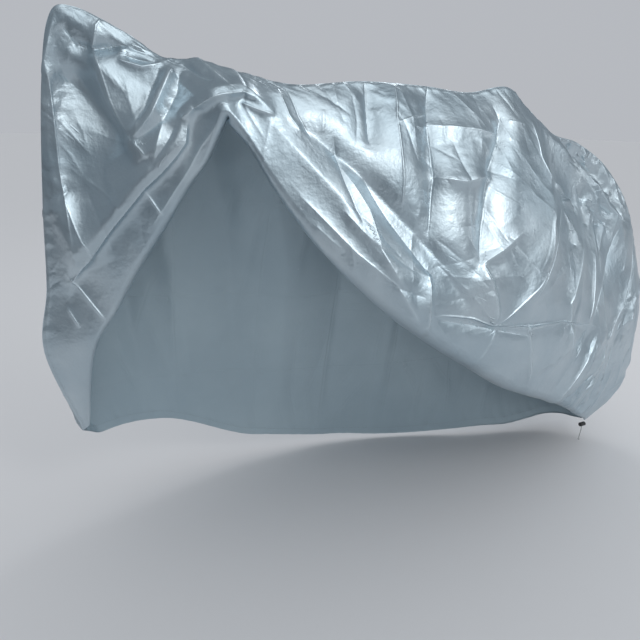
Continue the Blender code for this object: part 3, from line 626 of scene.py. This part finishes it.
def left_film():
    """Points and marks of the left panel: outer layer, rolled fold and turned-in layer."""
    at = even_sections(FINE_SECTIONS)
    length = panel_lengths("left", at)
    radius = smooth_column(DRAPES, "fold_radius", at)
    tuck = smooth_column(DRAPES, "tuck", at)

    reach = 1.0 - radius / length
    down = fine_down(length * reach, FINE_LEFT) * reach[:, None]
    plain = hang("left", at, down)
    outer = crease(plain, down, LEFT_FOLDS, surface_normals(plain, -1.0))
    normals = surface_normals(outer, -1.0)
    crumples = crumple_lines(LEFT_CRUMPLES, 11)
    marks = all_marks(outer, LEFT_CREASES, crumples, LEFT_CRINKLED)
    outer = fine_creases(outer, down, list(LEFT_CREASES) + crumples, normals)
    outer[:, 0, 1] -= SEAM_GAP / 2.0

    # The sewn border beside the seam stands a little proud and is gathered by its stitches.
    metres = down * length[:, None]
    border = 1.0 - smooth_step((metres - SEAM_WIDTH) / SEAM_EDGE)
    gathers = puckers(path_lengths(outer)) * near(metres, PUCKER_REACH)
    lift = FILM_LIFT + SEAM_RAISE * border + PUCKER_HEIGHT * gathers
    lift[:, 0] = FILM_LIFT
    outer += normals * lift[:, :, None]

    # The turned-in layer follows the outer one, two radii inside it.
    share = (tuck / length)[:, None]
    up = (reach - tuck / length)[:, None] + share * np.linspace(1.0, 0.0, FINE_TUCK + 1)[None, :]
    inner = hang("left", at, up)
    inner -= surface_normals(inner, 1.0) * (2.0 * radius + FILM_LIFT)[:, None, None]

    # Half a turn of the fold joins the two layers, with no marks on what is hidden.
    start = outer[:, -1:]
    across = (inner[:, :1] - start) / 2.0
    along = unit(plain[:, -1:] - plain[:, -2:-1]) * radius[:, None, None]
    turn = np.linspace(0.0, math.pi, FINE_TURN + 1)[None, 1:-1, None]
    arc = start + across * (1.0 - np.cos(turn)) + along * np.sin(turn)
    hidden = np.zeros(arc.shape[:1] + (arc.shape[1] + inner.shape[1], 3))
    marks = {name: np.concatenate([mark, hidden], axis=1) for name, mark in marks.items()}
    return np.concatenate([outer, arc, inner], axis=1), marks


def right_film():
    """Points and marks of the right panel, from the seam to its hem."""
    at = even_sections(FINE_SECTIONS)
    length = panel_lengths("right", at)
    down = fine_down(length, FINE_RIGHT)
    plain = hang("right", at, down)
    points = crease(plain, down, RIGHT_FOLDS, surface_normals(plain, 1.0))
    normals = surface_normals(points, 1.0)
    crumples = crumple_lines(RIGHT_CRUMPLES, 23)
    marks = all_marks(points, RIGHT_CREASES, crumples, RIGHT_CRINKLED)
    points = fine_creases(points, down, list(RIGHT_CREASES) + crumples, normals)
    points[:, 0, 1] += SEAM_GAP / 2.0

    # The hem stands proud on its inner side, and both borders are gathered by their stitches.
    metres = down * length[:, None]
    from_hem = length[:, None] - metres
    hem = 1.0 - smooth_step((from_hem - HEM_BAND) / SEAM_EDGE)
    gathers = puckers(path_lengths(points)) * (
        near(metres, PUCKER_REACH) + near(from_hem - HEM_BAND, PUCKER_REACH))
    lift = FILM_LIFT - HEM_RAISE * hem + PUCKER_HEIGHT * gathers
    lift[:, 0] = FILM_LIFT
    return points + normals * lift[:, :, None], marks


def in_part_frame(point):
    return Vector(point) - Vector(SADDLE_TOP)


def add_object(name, data):
    thing = bpy.data.objects.new(name, data)
    bpy.context.scene.collection.objects.link(thing)
    return thing


def grid_faces(rows, columns, first, flip):
    corner = (np.arange(rows - 1)[:, None] * columns + np.arange(columns - 1)[None, :]).ravel()
    faces = np.stack([corner, corner + columns, corner + columns + 1, corner + 1], axis=-1)
    if flip:
        faces = faces[:, ::-1]
    return (faces + first).tolist()


def edge_ring(rows, columns, step):
    """Indices round the border of a grid, every step points, as (row, column)."""
    last_row, last_column = rows - 1, columns - 1
    ring = [(r, 0) for r in range(0, last_row, step)]
    ring += [(last_row, c) for c in range(0, last_column, step)]
    ring += [(r, last_column) for r in range(last_row, 0, -step)]
    ring += [(0, c) for c in range(last_column, 0, -step)]
    return ring


def film_object(name, points, marks, sideways, materials, node):
    """A closed sheet: a fine silver face, and a matt inner face with every second point."""
    rows, columns = points.shape[:2]
    normals = surface_normals(points, sideways)
    row_edge = np.minimum(np.arange(rows), rows - 1 - np.arange(rows))[:, None]
    column_edge = np.minimum(np.arange(columns), columns - 1 - np.arange(columns))[None, :]
    from_edge = smooth_step(np.minimum(row_edge, column_edge) / FILM_EDGE_POINTS)
    depth = FILM_EDGE + (FILM_INNER - FILM_EDGE) * from_edge
    inner = (points - normals * depth[:, :, None])[::2, ::2]
    inner_rows, inner_columns = inner.shape[:2]
    origin = np.array(SADDLE_TOP)
    spots = np.concatenate([(points - origin).reshape(-1, 3), (inner - origin).reshape(-1, 3)])
    outward_up = sideways > 0.0
    outer_faces = grid_faces(rows, columns, 0, not outward_up)
    inner_faces = grid_faces(inner_rows, inner_columns, rows * columns, outward_up)
    outer_ring = [r * columns + c for r, c in edge_ring(rows, columns, 1)]
    inner_ring = [rows * columns + (r // 2) * inner_columns + c // 2
                  for r, c in edge_ring(rows, columns, 2)]
    rim = []
    count = len(inner_ring)
    for i in range(count):
        after = (i + 1) % count
        face = [outer_ring[2 * i], outer_ring[2 * i + 1], outer_ring[(2 * i + 2) % (2 * count)],
                inner_ring[after], inner_ring[i]]
        rim.append(face if outward_up else face[::-1])
    mesh = bpy.data.meshes.new(name)
    mesh.from_pydata(spots.tolist(), [], outer_faces + inner_faces + rim)
    for material in materials:
        mesh.materials.append(material)
    slots = np.zeros(len(mesh.polygons), dtype=np.int32)
    slots[len(outer_faces):] = 1
    mesh.polygons.foreach_set("material_index", slots)
    for layer, mark in marks.items():
        values = np.concatenate([mark.reshape(-1, 3), mark[::2, ::2].reshape(-1, 3)])
        attribute = mesh.attributes.new(layer, "FLOAT_VECTOR", "POINT")
        attribute.data.foreach_set("vector", values.ravel())
    mesh.shade_smooth()
    mesh.update()
    piece = add_object(name, mesh)
    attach(piece, "root")
    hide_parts(node)
    return piece


# Materials.
LINE_WIDTH = 0.0022
CRUMPLE_WIDTH = 0.0030
# The pressed lines' brighter colour is partly wear and partly a painted highlight.
WEAR_AND_GLINT_WIDTH = 1.4 * LINE_WIDTH
WEAR_AND_GLINT_HEIGHT = 0.0018                    # height of a pressed line that is rubbed and painted brightest
WEAR_AND_GLINT_MOST = 0.75


def new_material(name):
    material = bpy.data.materials.new(name)
    material.use_nodes = True
    tree = material.node_tree
    return material, tree, tree.nodes["Principled BSDF"]


def add_node(tree, kind, **settings):
    node = tree.nodes.new(kind)
    for key, value in settings.items():
        setattr(node, key, value)
    return node


def ramp(tree, source, low, high, start, end):
    """Map a value between low and high to one between start and end."""
    node = add_node(tree, "ShaderNodeMapRange")
    node.inputs["From Min"].default_value = low
    node.inputs["From Max"].default_value = high
    node.inputs["To Min"].default_value = start
    node.inputs["To Max"].default_value = end
    tree.links.new(source, node.inputs["Value"])
    return node.outputs["Result"]


def noise(tree, coordinates, scale, detail, **settings):
    node = add_node(tree, "ShaderNodeTexNoise", **settings)
    node.inputs["Scale"].default_value = scale
    node.inputs["Detail"].default_value = detail
    tree.links.new(coordinates, node.inputs["Vector"])
    return node


def bump(tree, height, strength, distance, before=None):
    node = add_node(tree, "ShaderNodeBump")
    node.inputs["Strength"].default_value = strength
    node.inputs["Distance"].default_value = distance
    tree.links.new(height, node.inputs["Height"])
    if before is not None:
        tree.links.new(before.outputs["Normal"], node.inputs["Normal"])
    return node


def blend_colours(tree, amount, first, second):
    """A mix of two colours, each of them a triple or another node's output."""
    node = add_node(tree, "ShaderNodeMix", data_type="RGBA")
    for socket, colour in (("A", first), ("B", second)):
        if isinstance(colour, tuple):
            node.inputs[socket].default_value = (*colour, 1.0)
        else:
            tree.links.new(colour, node.inputs[socket])
    tree.links.new(amount, node.inputs["Factor"])
    return node.outputs["Result"]


def warped(tree, coordinates, scale, amount):
    """Coordinates pushed about by a slow noise, so that cells and creases aren't regular."""
    slow = noise(tree, coordinates, scale, 1.0)
    push = add_node(tree, "ShaderNodeVectorMath", operation="MULTIPLY_ADD")
    tree.links.new(slow.outputs["Color"], push.inputs[0])
    push.inputs[1].default_value = (amount, amount, amount)
    tree.links.new(coordinates, push.inputs[2])
    return push.outputs["Vector"]


def maths(tree, operation, first, second):
    """A Math node of two inputs, either of which may be a number."""
    node = add_node(tree, "ShaderNodeMath", operation=operation)
    for socket, value in zip(node.inputs, (first, second)):
        if isinstance(value, float):
            socket.default_value = value
        else:
            tree.links.new(value, socket)
    return node.outputs["Value"]


def pressed_line(tree, layer, width):
    """Height of the thin pressed lines that a mesh attribute places, in metres."""
    marks = add_node(tree, "ShaderNodeAttribute", attribute_name=layer)
    split = add_node(tree, "ShaderNodeSeparateXYZ")
    tree.links.new(marks.outputs["Vector"], split.inputs["Vector"])
    off = maths(tree, "DIVIDE", split.outputs["X"], width)
    fall = maths(tree, "MULTIPLY", maths(tree, "MULTIPLY", off, off), -1.0)
    return maths(tree, "MULTIPLY", maths(tree, "EXPONENT", fall, 0.0), split.outputs["Y"])


def film_bump(tree, coordinates, depth):
    """Film's surface: soft dents, sharp crinkles, pressed lines and a fine grain."""
    bent = warped(tree, coordinates, 4.0, 0.10)
    large = noise(tree, bent, 7.0, 2.0)
    ridges = noise(tree, bent, 13.0, 2.0, noise_type="RIDGED_MULTIFRACTAL")
    small = noise(tree, bent, 38.0, 3.0, noise_type="RIDGED_MULTIFRACTAL")
    mottle = noise(tree, coordinates, 130.0, 3.0)
    grain = noise(tree, coordinates, 420.0, 2.0)
    lines = maths(tree, "ADD", pressed_line(tree, "pressed_1", LINE_WIDTH),
                  pressed_line(tree, "pressed_2", LINE_WIDTH))
    for layer in ("crumpled_1", "crumpled_2"):
        lines = maths(tree, "ADD", lines, pressed_line(tree, layer, CRUMPLE_WIDTH))
    first = bump(tree, large.outputs["Fac"], 0.25 * depth, 0.008)
    second = bump(tree, ridges.outputs["Fac"], 0.5 * depth, 0.0060, first)
    third = bump(tree, small.outputs["Fac"], 0.5 * depth, 0.0022, second)
    fourth = bump(tree, mottle.outputs["Fac"], 0.8 * depth, 0.0010, third)
    fifth = bump(tree, lines, depth, 1.0, fourth)
    foil = noise(tree, bent, 30.0, 3.0, noise_type="RIDGED_MULTIFRACTAL")
    patches = add_node(tree, "ShaderNodeAttribute", attribute_name="crinkled")
    split = add_node(tree, "ShaderNodeSeparateXYZ")
    tree.links.new(patches.outputs["Vector"], split.inputs["Vector"])
    crinkles = maths(tree, "MULTIPLY", foil.outputs["Fac"], split.outputs["X"])
    sixth = bump(tree, crinkles, depth, 0.0110, fifth)
    return bump(tree, grain.outputs["Fac"], 0.05, 0.0005, sixth)


def dress(tree, shader, colour, roughness, relief):
    """Give a material its colour, its roughness (a number or an output) and its bumps."""
    tree.links.new(colour, shader.inputs["Base Color"])
    if isinstance(roughness, float):
        shader.inputs["Roughness"].default_value = roughness
    else:
        tree.links.new(roughness, shader.inputs["Roughness"])
    tree.links.new(relief.outputs["Normal"], shader.inputs["Normal"])


def silver_film():
    material, tree, shader = new_material("silver_film_outside")
    place = add_node(tree, "ShaderNodeTexCoord").outputs["Object"]
    patches = noise(tree, place, 5.0, 3.0)
    colour = blend_colours(tree, ramp(tree, patches.outputs["Fac"], 0.35, 0.65, 0.0, 1.0),
                           (0.43, 0.525, 0.585), (0.54, 0.625, 0.675))
    # The pressed lines are painted a little brighter: rubbed film, and a painted highlight along
    # the creases.
    line = maths(tree, "ADD", pressed_line(tree, "pressed_1", WEAR_AND_GLINT_WIDTH),
                 pressed_line(tree, "pressed_2", WEAR_AND_GLINT_WIDTH))
    line = maths(tree, "ABSOLUTE", line, 0.0)
    worn_and_glinted = blend_colours(tree, ramp(tree, line, 0.0, WEAR_AND_GLINT_HEIGHT, 0.0, WEAR_AND_GLINT_MOST), colour,
                         (0.72, 0.83, 0.89))
    rub = noise(tree, place, 24.0, 4.0)
    roughness = ramp(tree, rub.outputs["Fac"], 0.3, 0.7, 0.29, 0.42)
    shader.inputs["Metallic"].default_value = 0.80
    dress(tree, shader, worn_and_glinted, roughness, film_bump(tree, place, 1.0))
    return material


def matt_film():
    material, tree, shader = new_material("silver_film_inside")
    place = add_node(tree, "ShaderNodeTexCoord").outputs["Object"]
    patches = noise(tree, place, 3.0, 3.0)
    colour = blend_colours(tree, ramp(tree, patches.outputs["Fac"], 0.3, 0.7, 0.0, 1.0),
                           (0.35, 0.45, 0.51), (0.42, 0.525, 0.58))
    rub = noise(tree, place, 30.0, 3.0)
    roughness = ramp(tree, rub.outputs["Fac"], 0.3, 0.7, 0.5, 0.66)
    shader.inputs["Metallic"].default_value = 0.1
    dress(tree, shader, colour, roughness, film_bump(tree, place, 0.4))
    return material


def thread():
    material, tree, shader = new_material("grey_thread")
    place = add_node(tree, "ShaderNodeTexCoord").outputs["Object"]
    twist = noise(tree, place, 900.0, 2.0)
    colour = blend_colours(tree, twist.outputs["Fac"], (0.22, 0.25, 0.27), (0.36, 0.40, 0.42))
    dress(tree, shader, colour, 0.7, bump(tree, twist.outputs["Fac"], 0.4, 0.0003))
    return material


def braid():
    material, tree, shader = new_material("grey_braid")
    place = add_node(tree, "ShaderNodeTexCoord").outputs["Object"]
    strands = add_node(tree, "ShaderNodeTexVoronoi")
    strands.inputs["Scale"].default_value = 1300.0
    tree.links.new(place, strands.inputs["Vector"])
    colour = blend_colours(tree, strands.outputs["Distance"], (0.52, 0.53, 0.54),
                           (0.28, 0.29, 0.30))
    dress(tree, shader, colour, 0.8, bump(tree, strands.outputs["Distance"], 0.6, 0.0005))
    return material


def moulded_black():
    material, tree, shader = new_material("moulded_black")
    place = add_node(tree, "ShaderNodeTexCoord").outputs["Object"]
    texture = noise(tree, place, 700.0, 3.0)
    colour = blend_colours(tree, texture.outputs["Fac"], (0.012, 0.012, 0.013),
                           (0.030, 0.030, 0.032))
    roughness = ramp(tree, texture.outputs["Fac"], 0.3, 0.7, 0.38, 0.55)
    dress(tree, shader, colour, roughness, bump(tree, texture.outputs["Fac"], 0.25, 0.0003))
    return material


# The drawcord's free end: the part's own route, its knot and its stop.
CORD_FINE_STEP = 0.0015
KNOT_TUBE = 0.0010
KNOT_TURN = 0.00235


def cord_curve():
    rows = [Spot(*spot) for spot in CORD_ROUTE]
    fine = np.linspace(0.0, len(rows) - 1.0, 400)
    curve = np.stack([smooth_column(rows, axis, fine) for axis in "xyz"], axis=-1)
    travelled = np.concatenate(([0.0], np.cumsum(np.linalg.norm(np.diff(curve, axis=0), axis=1))))
    count = round(travelled[-1] / CORD_FINE_STEP) + 1
    stops = np.linspace(0.0, travelled[-1], count)
    points = np.stack([np.interp(stops, travelled, curve[:, i]) for i in range(3)], axis=-1)
    return points, travelled[-1]


def tube_curve(name, points, radius, closed, material):
    curve = bpy.data.curves.new(name, "CURVE")
    curve.dimensions = "3D"
    curve.bevel_depth = radius
    curve.bevel_resolution = 3
    curve.use_fill_caps = not closed
    spline = curve.splines.new("POLY")
    spline.points.add(len(points) - 1)
    for target, point in zip(spline.points, points):
        target.co = (*point, 1.0)
    spline.use_cyclic_u = closed
    curve.materials.append(material)
    piece = add_object(name, curve)
    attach(piece, "root")
    return piece


def knot_points(centre):
    """A trefoil, which is a closed overhand knot."""
    around = np.linspace(0.0, 2.0 * math.pi, 60, endpoint=False)
    spots = np.stack([
        np.sin(around) + 2.0 * np.sin(2.0 * around),
        np.cos(around) - 2.0 * np.cos(2.0 * around),
        -np.sin(3.0 * around),
    ], axis=-1) / 3.0
    return [Vector(centre) + Vector(spot) * KNOT_TURN for spot in spots]


def cord_pieces():
    grey = braid()
    points, length = cord_curve()
    cord = tube_curve("drawcord", [in_part_frame(p) for p in points], CORD_DIAMETER / 2.0,
                      False, grey)
    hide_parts("drawcord_end")
    lowest = in_part_frame(CORD_ROUTE[-1])
    centre = lowest - Vector((0.0, 0.0, KNOT_RADIUS + PIECE_GAP))
    knot = tube_curve("cord_knot", knot_points(centre), KNOT_TUBE, True, grey)
    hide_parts("drawcord_knot")
    stop = bpy.data.objects["cord_stop"]
    stop.material_slots[0].material = moulded_black()
    return cord


# Stitches, laid as short dashes of thread along a row of the film.
STITCH_LENGTH = 0.0032
STITCH_PITCH = 0.0046
STITCH_WIDTH = 0.0006
STITCH_SIDES = 6
STITCH_FROM = 0.2                      # share of its pitch before a dash begins
STITCH_LIFT = 0.3                      # share of its width by which its middle is lifted
STITCH_ENDS = (0.35, 1.0, 0.35)        # share of its width at its ends and its middle


def stitch_row(name, line, lifts, material):
    """Short dashes along a line, each of six sides and thinner towards its two ends."""
    travelled = np.concatenate(([0.0], np.cumsum(np.linalg.norm(np.diff(line, axis=0), axis=1))))
    count = int(travelled[-1] / STITCH_PITCH)
    spots = []
    faces = []
    for i in range(count):
        begin = (i + STITCH_FROM) * STITCH_PITCH
        ends = []
        for where in (begin, begin + 0.5 * STITCH_LENGTH, begin + STITCH_LENGTH):
            spot = np.array([np.interp(where, travelled, line[:, k]) for k in range(3)])
            lift = np.array([np.interp(where, travelled, lifts[:, k]) for k in range(3)])
            ends.append((spot, lift / np.linalg.norm(lift)))
        ahead = ends[2][0] - ends[0][0]
        ahead = ahead / np.linalg.norm(ahead)
        first = len(spots)
        for (spot, lift), size in zip(ends, STITCH_ENDS):
            side = np.cross(ahead, lift)
            for turn in range(STITCH_SIDES):
                angle = turn * 2.0 * math.pi / STITCH_SIDES
                ring = side * math.cos(angle) + lift * math.sin(angle)
                middle = spot + lift * STITCH_WIDTH * STITCH_LIFT
                spots.append(middle + ring * STITCH_WIDTH * 0.5 * size)
        for ring in range(2):
            for turn in range(STITCH_SIDES):
                a = first + ring * STITCH_SIDES + turn
                b = first + ring * STITCH_SIDES + (turn + 1) % STITCH_SIDES
                faces.append((a, b, b + STITCH_SIDES, a + STITCH_SIDES))
        faces.append(tuple(first + turn for turn in reversed(range(STITCH_SIDES))))
        faces.append(tuple(first + 2 * STITCH_SIDES + turn for turn in range(STITCH_SIDES)))
    mesh = bpy.data.meshes.new(name)
    mesh.from_pydata([tuple(s - np.array(SADDLE_TOP)) for s in spots], [], faces)
    mesh.shade_smooth()
    mesh.materials.append(material)
    piece = add_object(name, mesh)
    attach(piece, "root")
    return piece


def row_at(points, metres_from_top):
    """The line on a grid that lies a set way down from its first row of points."""
    steps = np.linalg.norm(np.diff(points, axis=1), axis=-1)
    down = np.concatenate([np.zeros((len(points), 1)), np.cumsum(steps, axis=1)], axis=1)
    line = []
    for column, row in zip(down, points):
        where = min(metres_from_top, column[-1] * 0.5)
        line.append([np.interp(where, column, row[:, k]) for k in range(3)])
    return np.array(line)


# Camera, floor and lights, in the part's frame.
CAMERA_SPOT = (-0.70, -1.115, 0.98)
CAMERA_TURN = math.radians(26.3)
CAMERA_DIP = math.radians(19.54)
CAMERA_ROLL = -0.021
CAMERA_LENS = 32.2
SENSOR = 36.0


def add_camera():
    data = bpy.data.cameras.new("camera")
    data.sensor_width = SENSOR
    data.lens = CAMERA_LENS
    data.clip_start = 0.05
    data.clip_end = 100.0
    camera = add_object("camera", data)
    ahead = Vector((math.sin(CAMERA_TURN) * math.cos(CAMERA_DIP),
                    math.cos(CAMERA_TURN) * math.cos(CAMERA_DIP), -math.sin(CAMERA_DIP)))
    right = ahead.cross(Vector((0.0, 0.0, 1.0))).normalized()
    roll = Matrix.Rotation(CAMERA_ROLL, 3, ahead)
    right = roll @ right
    up = right.cross(ahead)
    turn = Matrix((right, up, -ahead)).transposed().to_4x4()
    camera.matrix_world = Matrix.Translation(in_part_frame(CAMERA_SPOT)) @ turn
    bpy.context.scene.camera = camera


FLOOR_REACH = 30.0
FLOOR_PALE = (0.685, 0.695, 0.712)
FLOOR_PAINTED_SHADE = (0.10, 0.12, 0.14)     # painted shade: the floor's dark colour past the span below, in mirrored rays only
PAINTED_SHADE_SPAN = (-3.8, -1.9)               # x over which the mirrored floor turns dark leftwards, as painted shade

# The surroundings differ with the kind of ray: BACKGROUND is for the camera, STUDIO_FILL for
# diffuse light, and mirrored rays see STUDIO_DARK with a soft box of STUDIO_BRIGHT in it.
BACKGROUND = (0.470, 0.488, 0.522)
STUDIO_FILL = (0.70, 0.715, 0.74)
STUDIO_DARK = (0.175, 0.205, 0.235)
STUDIO_BRIGHT = (1.62, 1.67, 1.70)
SOFTBOX_WAY = (0.12, -0.64, 0.76)
SOFTBOX_EDGE = 0.65                    # cosine of the angle off its middle where it begins
SOFTBOX_CORE = 0.95                    # and where it is brightest

Light = namedtuple("Light", "name spot target size power colour")
LIGHTS = (
    Light("key", (0.3, -2.3, 1.5), (0.0, 0.0, -0.5), (0.9, 0.9), 9.0, (1.0, 0.995, 0.98)),
    Light("rear", (1.6, 2.2, 1.8), (0.3, 0.0, -0.4), (1.0, 1.0), 14.0, (0.98, 0.99, 1.0)),
    Light("side", (2.6, -0.8, 0.3), (0.6, 0.0, -0.5), (0.6, 0.9), 3.0, (1.0, 1.0, 1.0)),
)


def add_floor():
    mesh = bpy.data.meshes.new("floor")
    level = -SADDLE_TOP[2]
    corners = ((-1, -1), (1, -1), (1, 1), (-1, 1))
    mesh.from_pydata([(x * FLOOR_REACH, y * FLOOR_REACH, level) for x, y in corners],
                     [], [(0, 1, 2, 3)])
    floor = add_object("floor", mesh)
    material, tree, shader = new_material("pale_floor")
    place = add_node(tree, "ShaderNodeTexCoord").outputs["Object"]
    split = add_node(tree, "ShaderNodeSeparateXYZ")
    tree.links.new(place, split.inputs["Vector"])
    # Painted shade: mirrored rays see the floor dark towards its left, so the film's faces turned
    # left look shaded; camera and diffuse rays see it pale.
    side = ramp(tree, split.outputs["X"], *PAINTED_SHADE_SPAN, 0.0, 1.0)
    mirrored = blend_colours(tree, side, FLOOR_PAINTED_SHADE, FLOOR_PALE)
    paths = add_node(tree, "ShaderNodeLightPath")
    seen = blend_colours(tree, paths.outputs["Is Glossy Ray"], FLOOR_PALE, mirrored)
    tree.links.new(seen, shader.inputs["Base Color"])
    shader.inputs["Roughness"].default_value = 0.9
    shader.inputs["Specular IOR Level"].default_value = 0.1
    mesh.materials.append(material)


def add_light(row):
    data = bpy.data.lights.new(row.name, "AREA")
    data.shape = "RECTANGLE"
    data.size, data.size_y = row.size
    data.energy = row.power
    data.color = row.colour
    light = add_object(row.name, data)
    light.location = row.spot
    towards = Vector(row.target) - Vector(row.spot)
    light.rotation_euler = towards.to_track_quat("-Z", "Y").to_euler()


def add_world():
    world = bpy.data.worlds.new("studio")
    bpy.context.scene.world = world
    world.use_nodes = True
    tree = world.node_tree
    back = tree.nodes["Background"]
    place = add_node(tree, "ShaderNodeTexCoord").outputs["Generated"]
    towards = add_node(tree, "ShaderNodeVectorMath", operation="DOT_PRODUCT")
    tree.links.new(place, towards.inputs[0])
    towards.inputs[1].default_value = Vector(SOFTBOX_WAY).normalized()
    lit = ramp(tree, towards.outputs["Value"], SOFTBOX_EDGE, SOFTBOX_CORE, 0.0, 1.0)
    mirrored = blend_colours(tree, lit, STUDIO_DARK, STUDIO_BRIGHT)
    paths = add_node(tree, "ShaderNodeLightPath")
    plain = blend_colours(tree, paths.outputs["Is Glossy Ray"], STUDIO_FILL, mirrored)
    seen = blend_colours(tree, paths.outputs["Is Camera Ray"], plain, BACKGROUND)
    tree.links.new(seen, back.inputs["Color"])
    back.inputs["Strength"].default_value = 1.0


# The lines that the sheets' stitches are sewn along.
SEAM_STITCHES = 0.8 * SEAM_WIDTH       # how far from the seam its stitches are
SEAM_COLUMN = 6                        # the grid's columns whose normals the stitches stand on
HEM_COLUMN = -5


def main():
    bpy.context.scene.view_settings.view_transform = "Standard"
    add_camera()
    cord_pieces()

    outside = silver_film()
    inside = matt_film()
    left, left_marks = left_film()
    right, right_marks = right_film()
    left_piece = film_object("left_film", left, left_marks, -1.0, (outside, inside),
                             "left_panel")
    right_piece = film_object("right_film", right, right_marks, 1.0, (outside, inside),
                              "right_panel")

    grey = thread()
    seam_line = row_at(left, SEAM_STITCHES)
    seam_lift = surface_normals(left, -1.0)[:, SEAM_COLUMN]
    stitch_row("seam_stitches", seam_line, seam_lift, grey)
    turned = right[:, ::-1]
    hem_line = row_at(turned, HEM_BAND)
    hem_lift = surface_normals(right, 1.0)[:, HEM_COLUMN]
    stitch_row("hem_stitches", hem_line + hem_lift * FILM_EDGE, hem_lift, grey)
    stitch_row("hem_stitches_inside", hem_line - hem_lift * FILM_INNER, -hem_lift, grey)

    add_floor()
    for row in LIGHTS:
        add_light(row)
    add_world()


main()
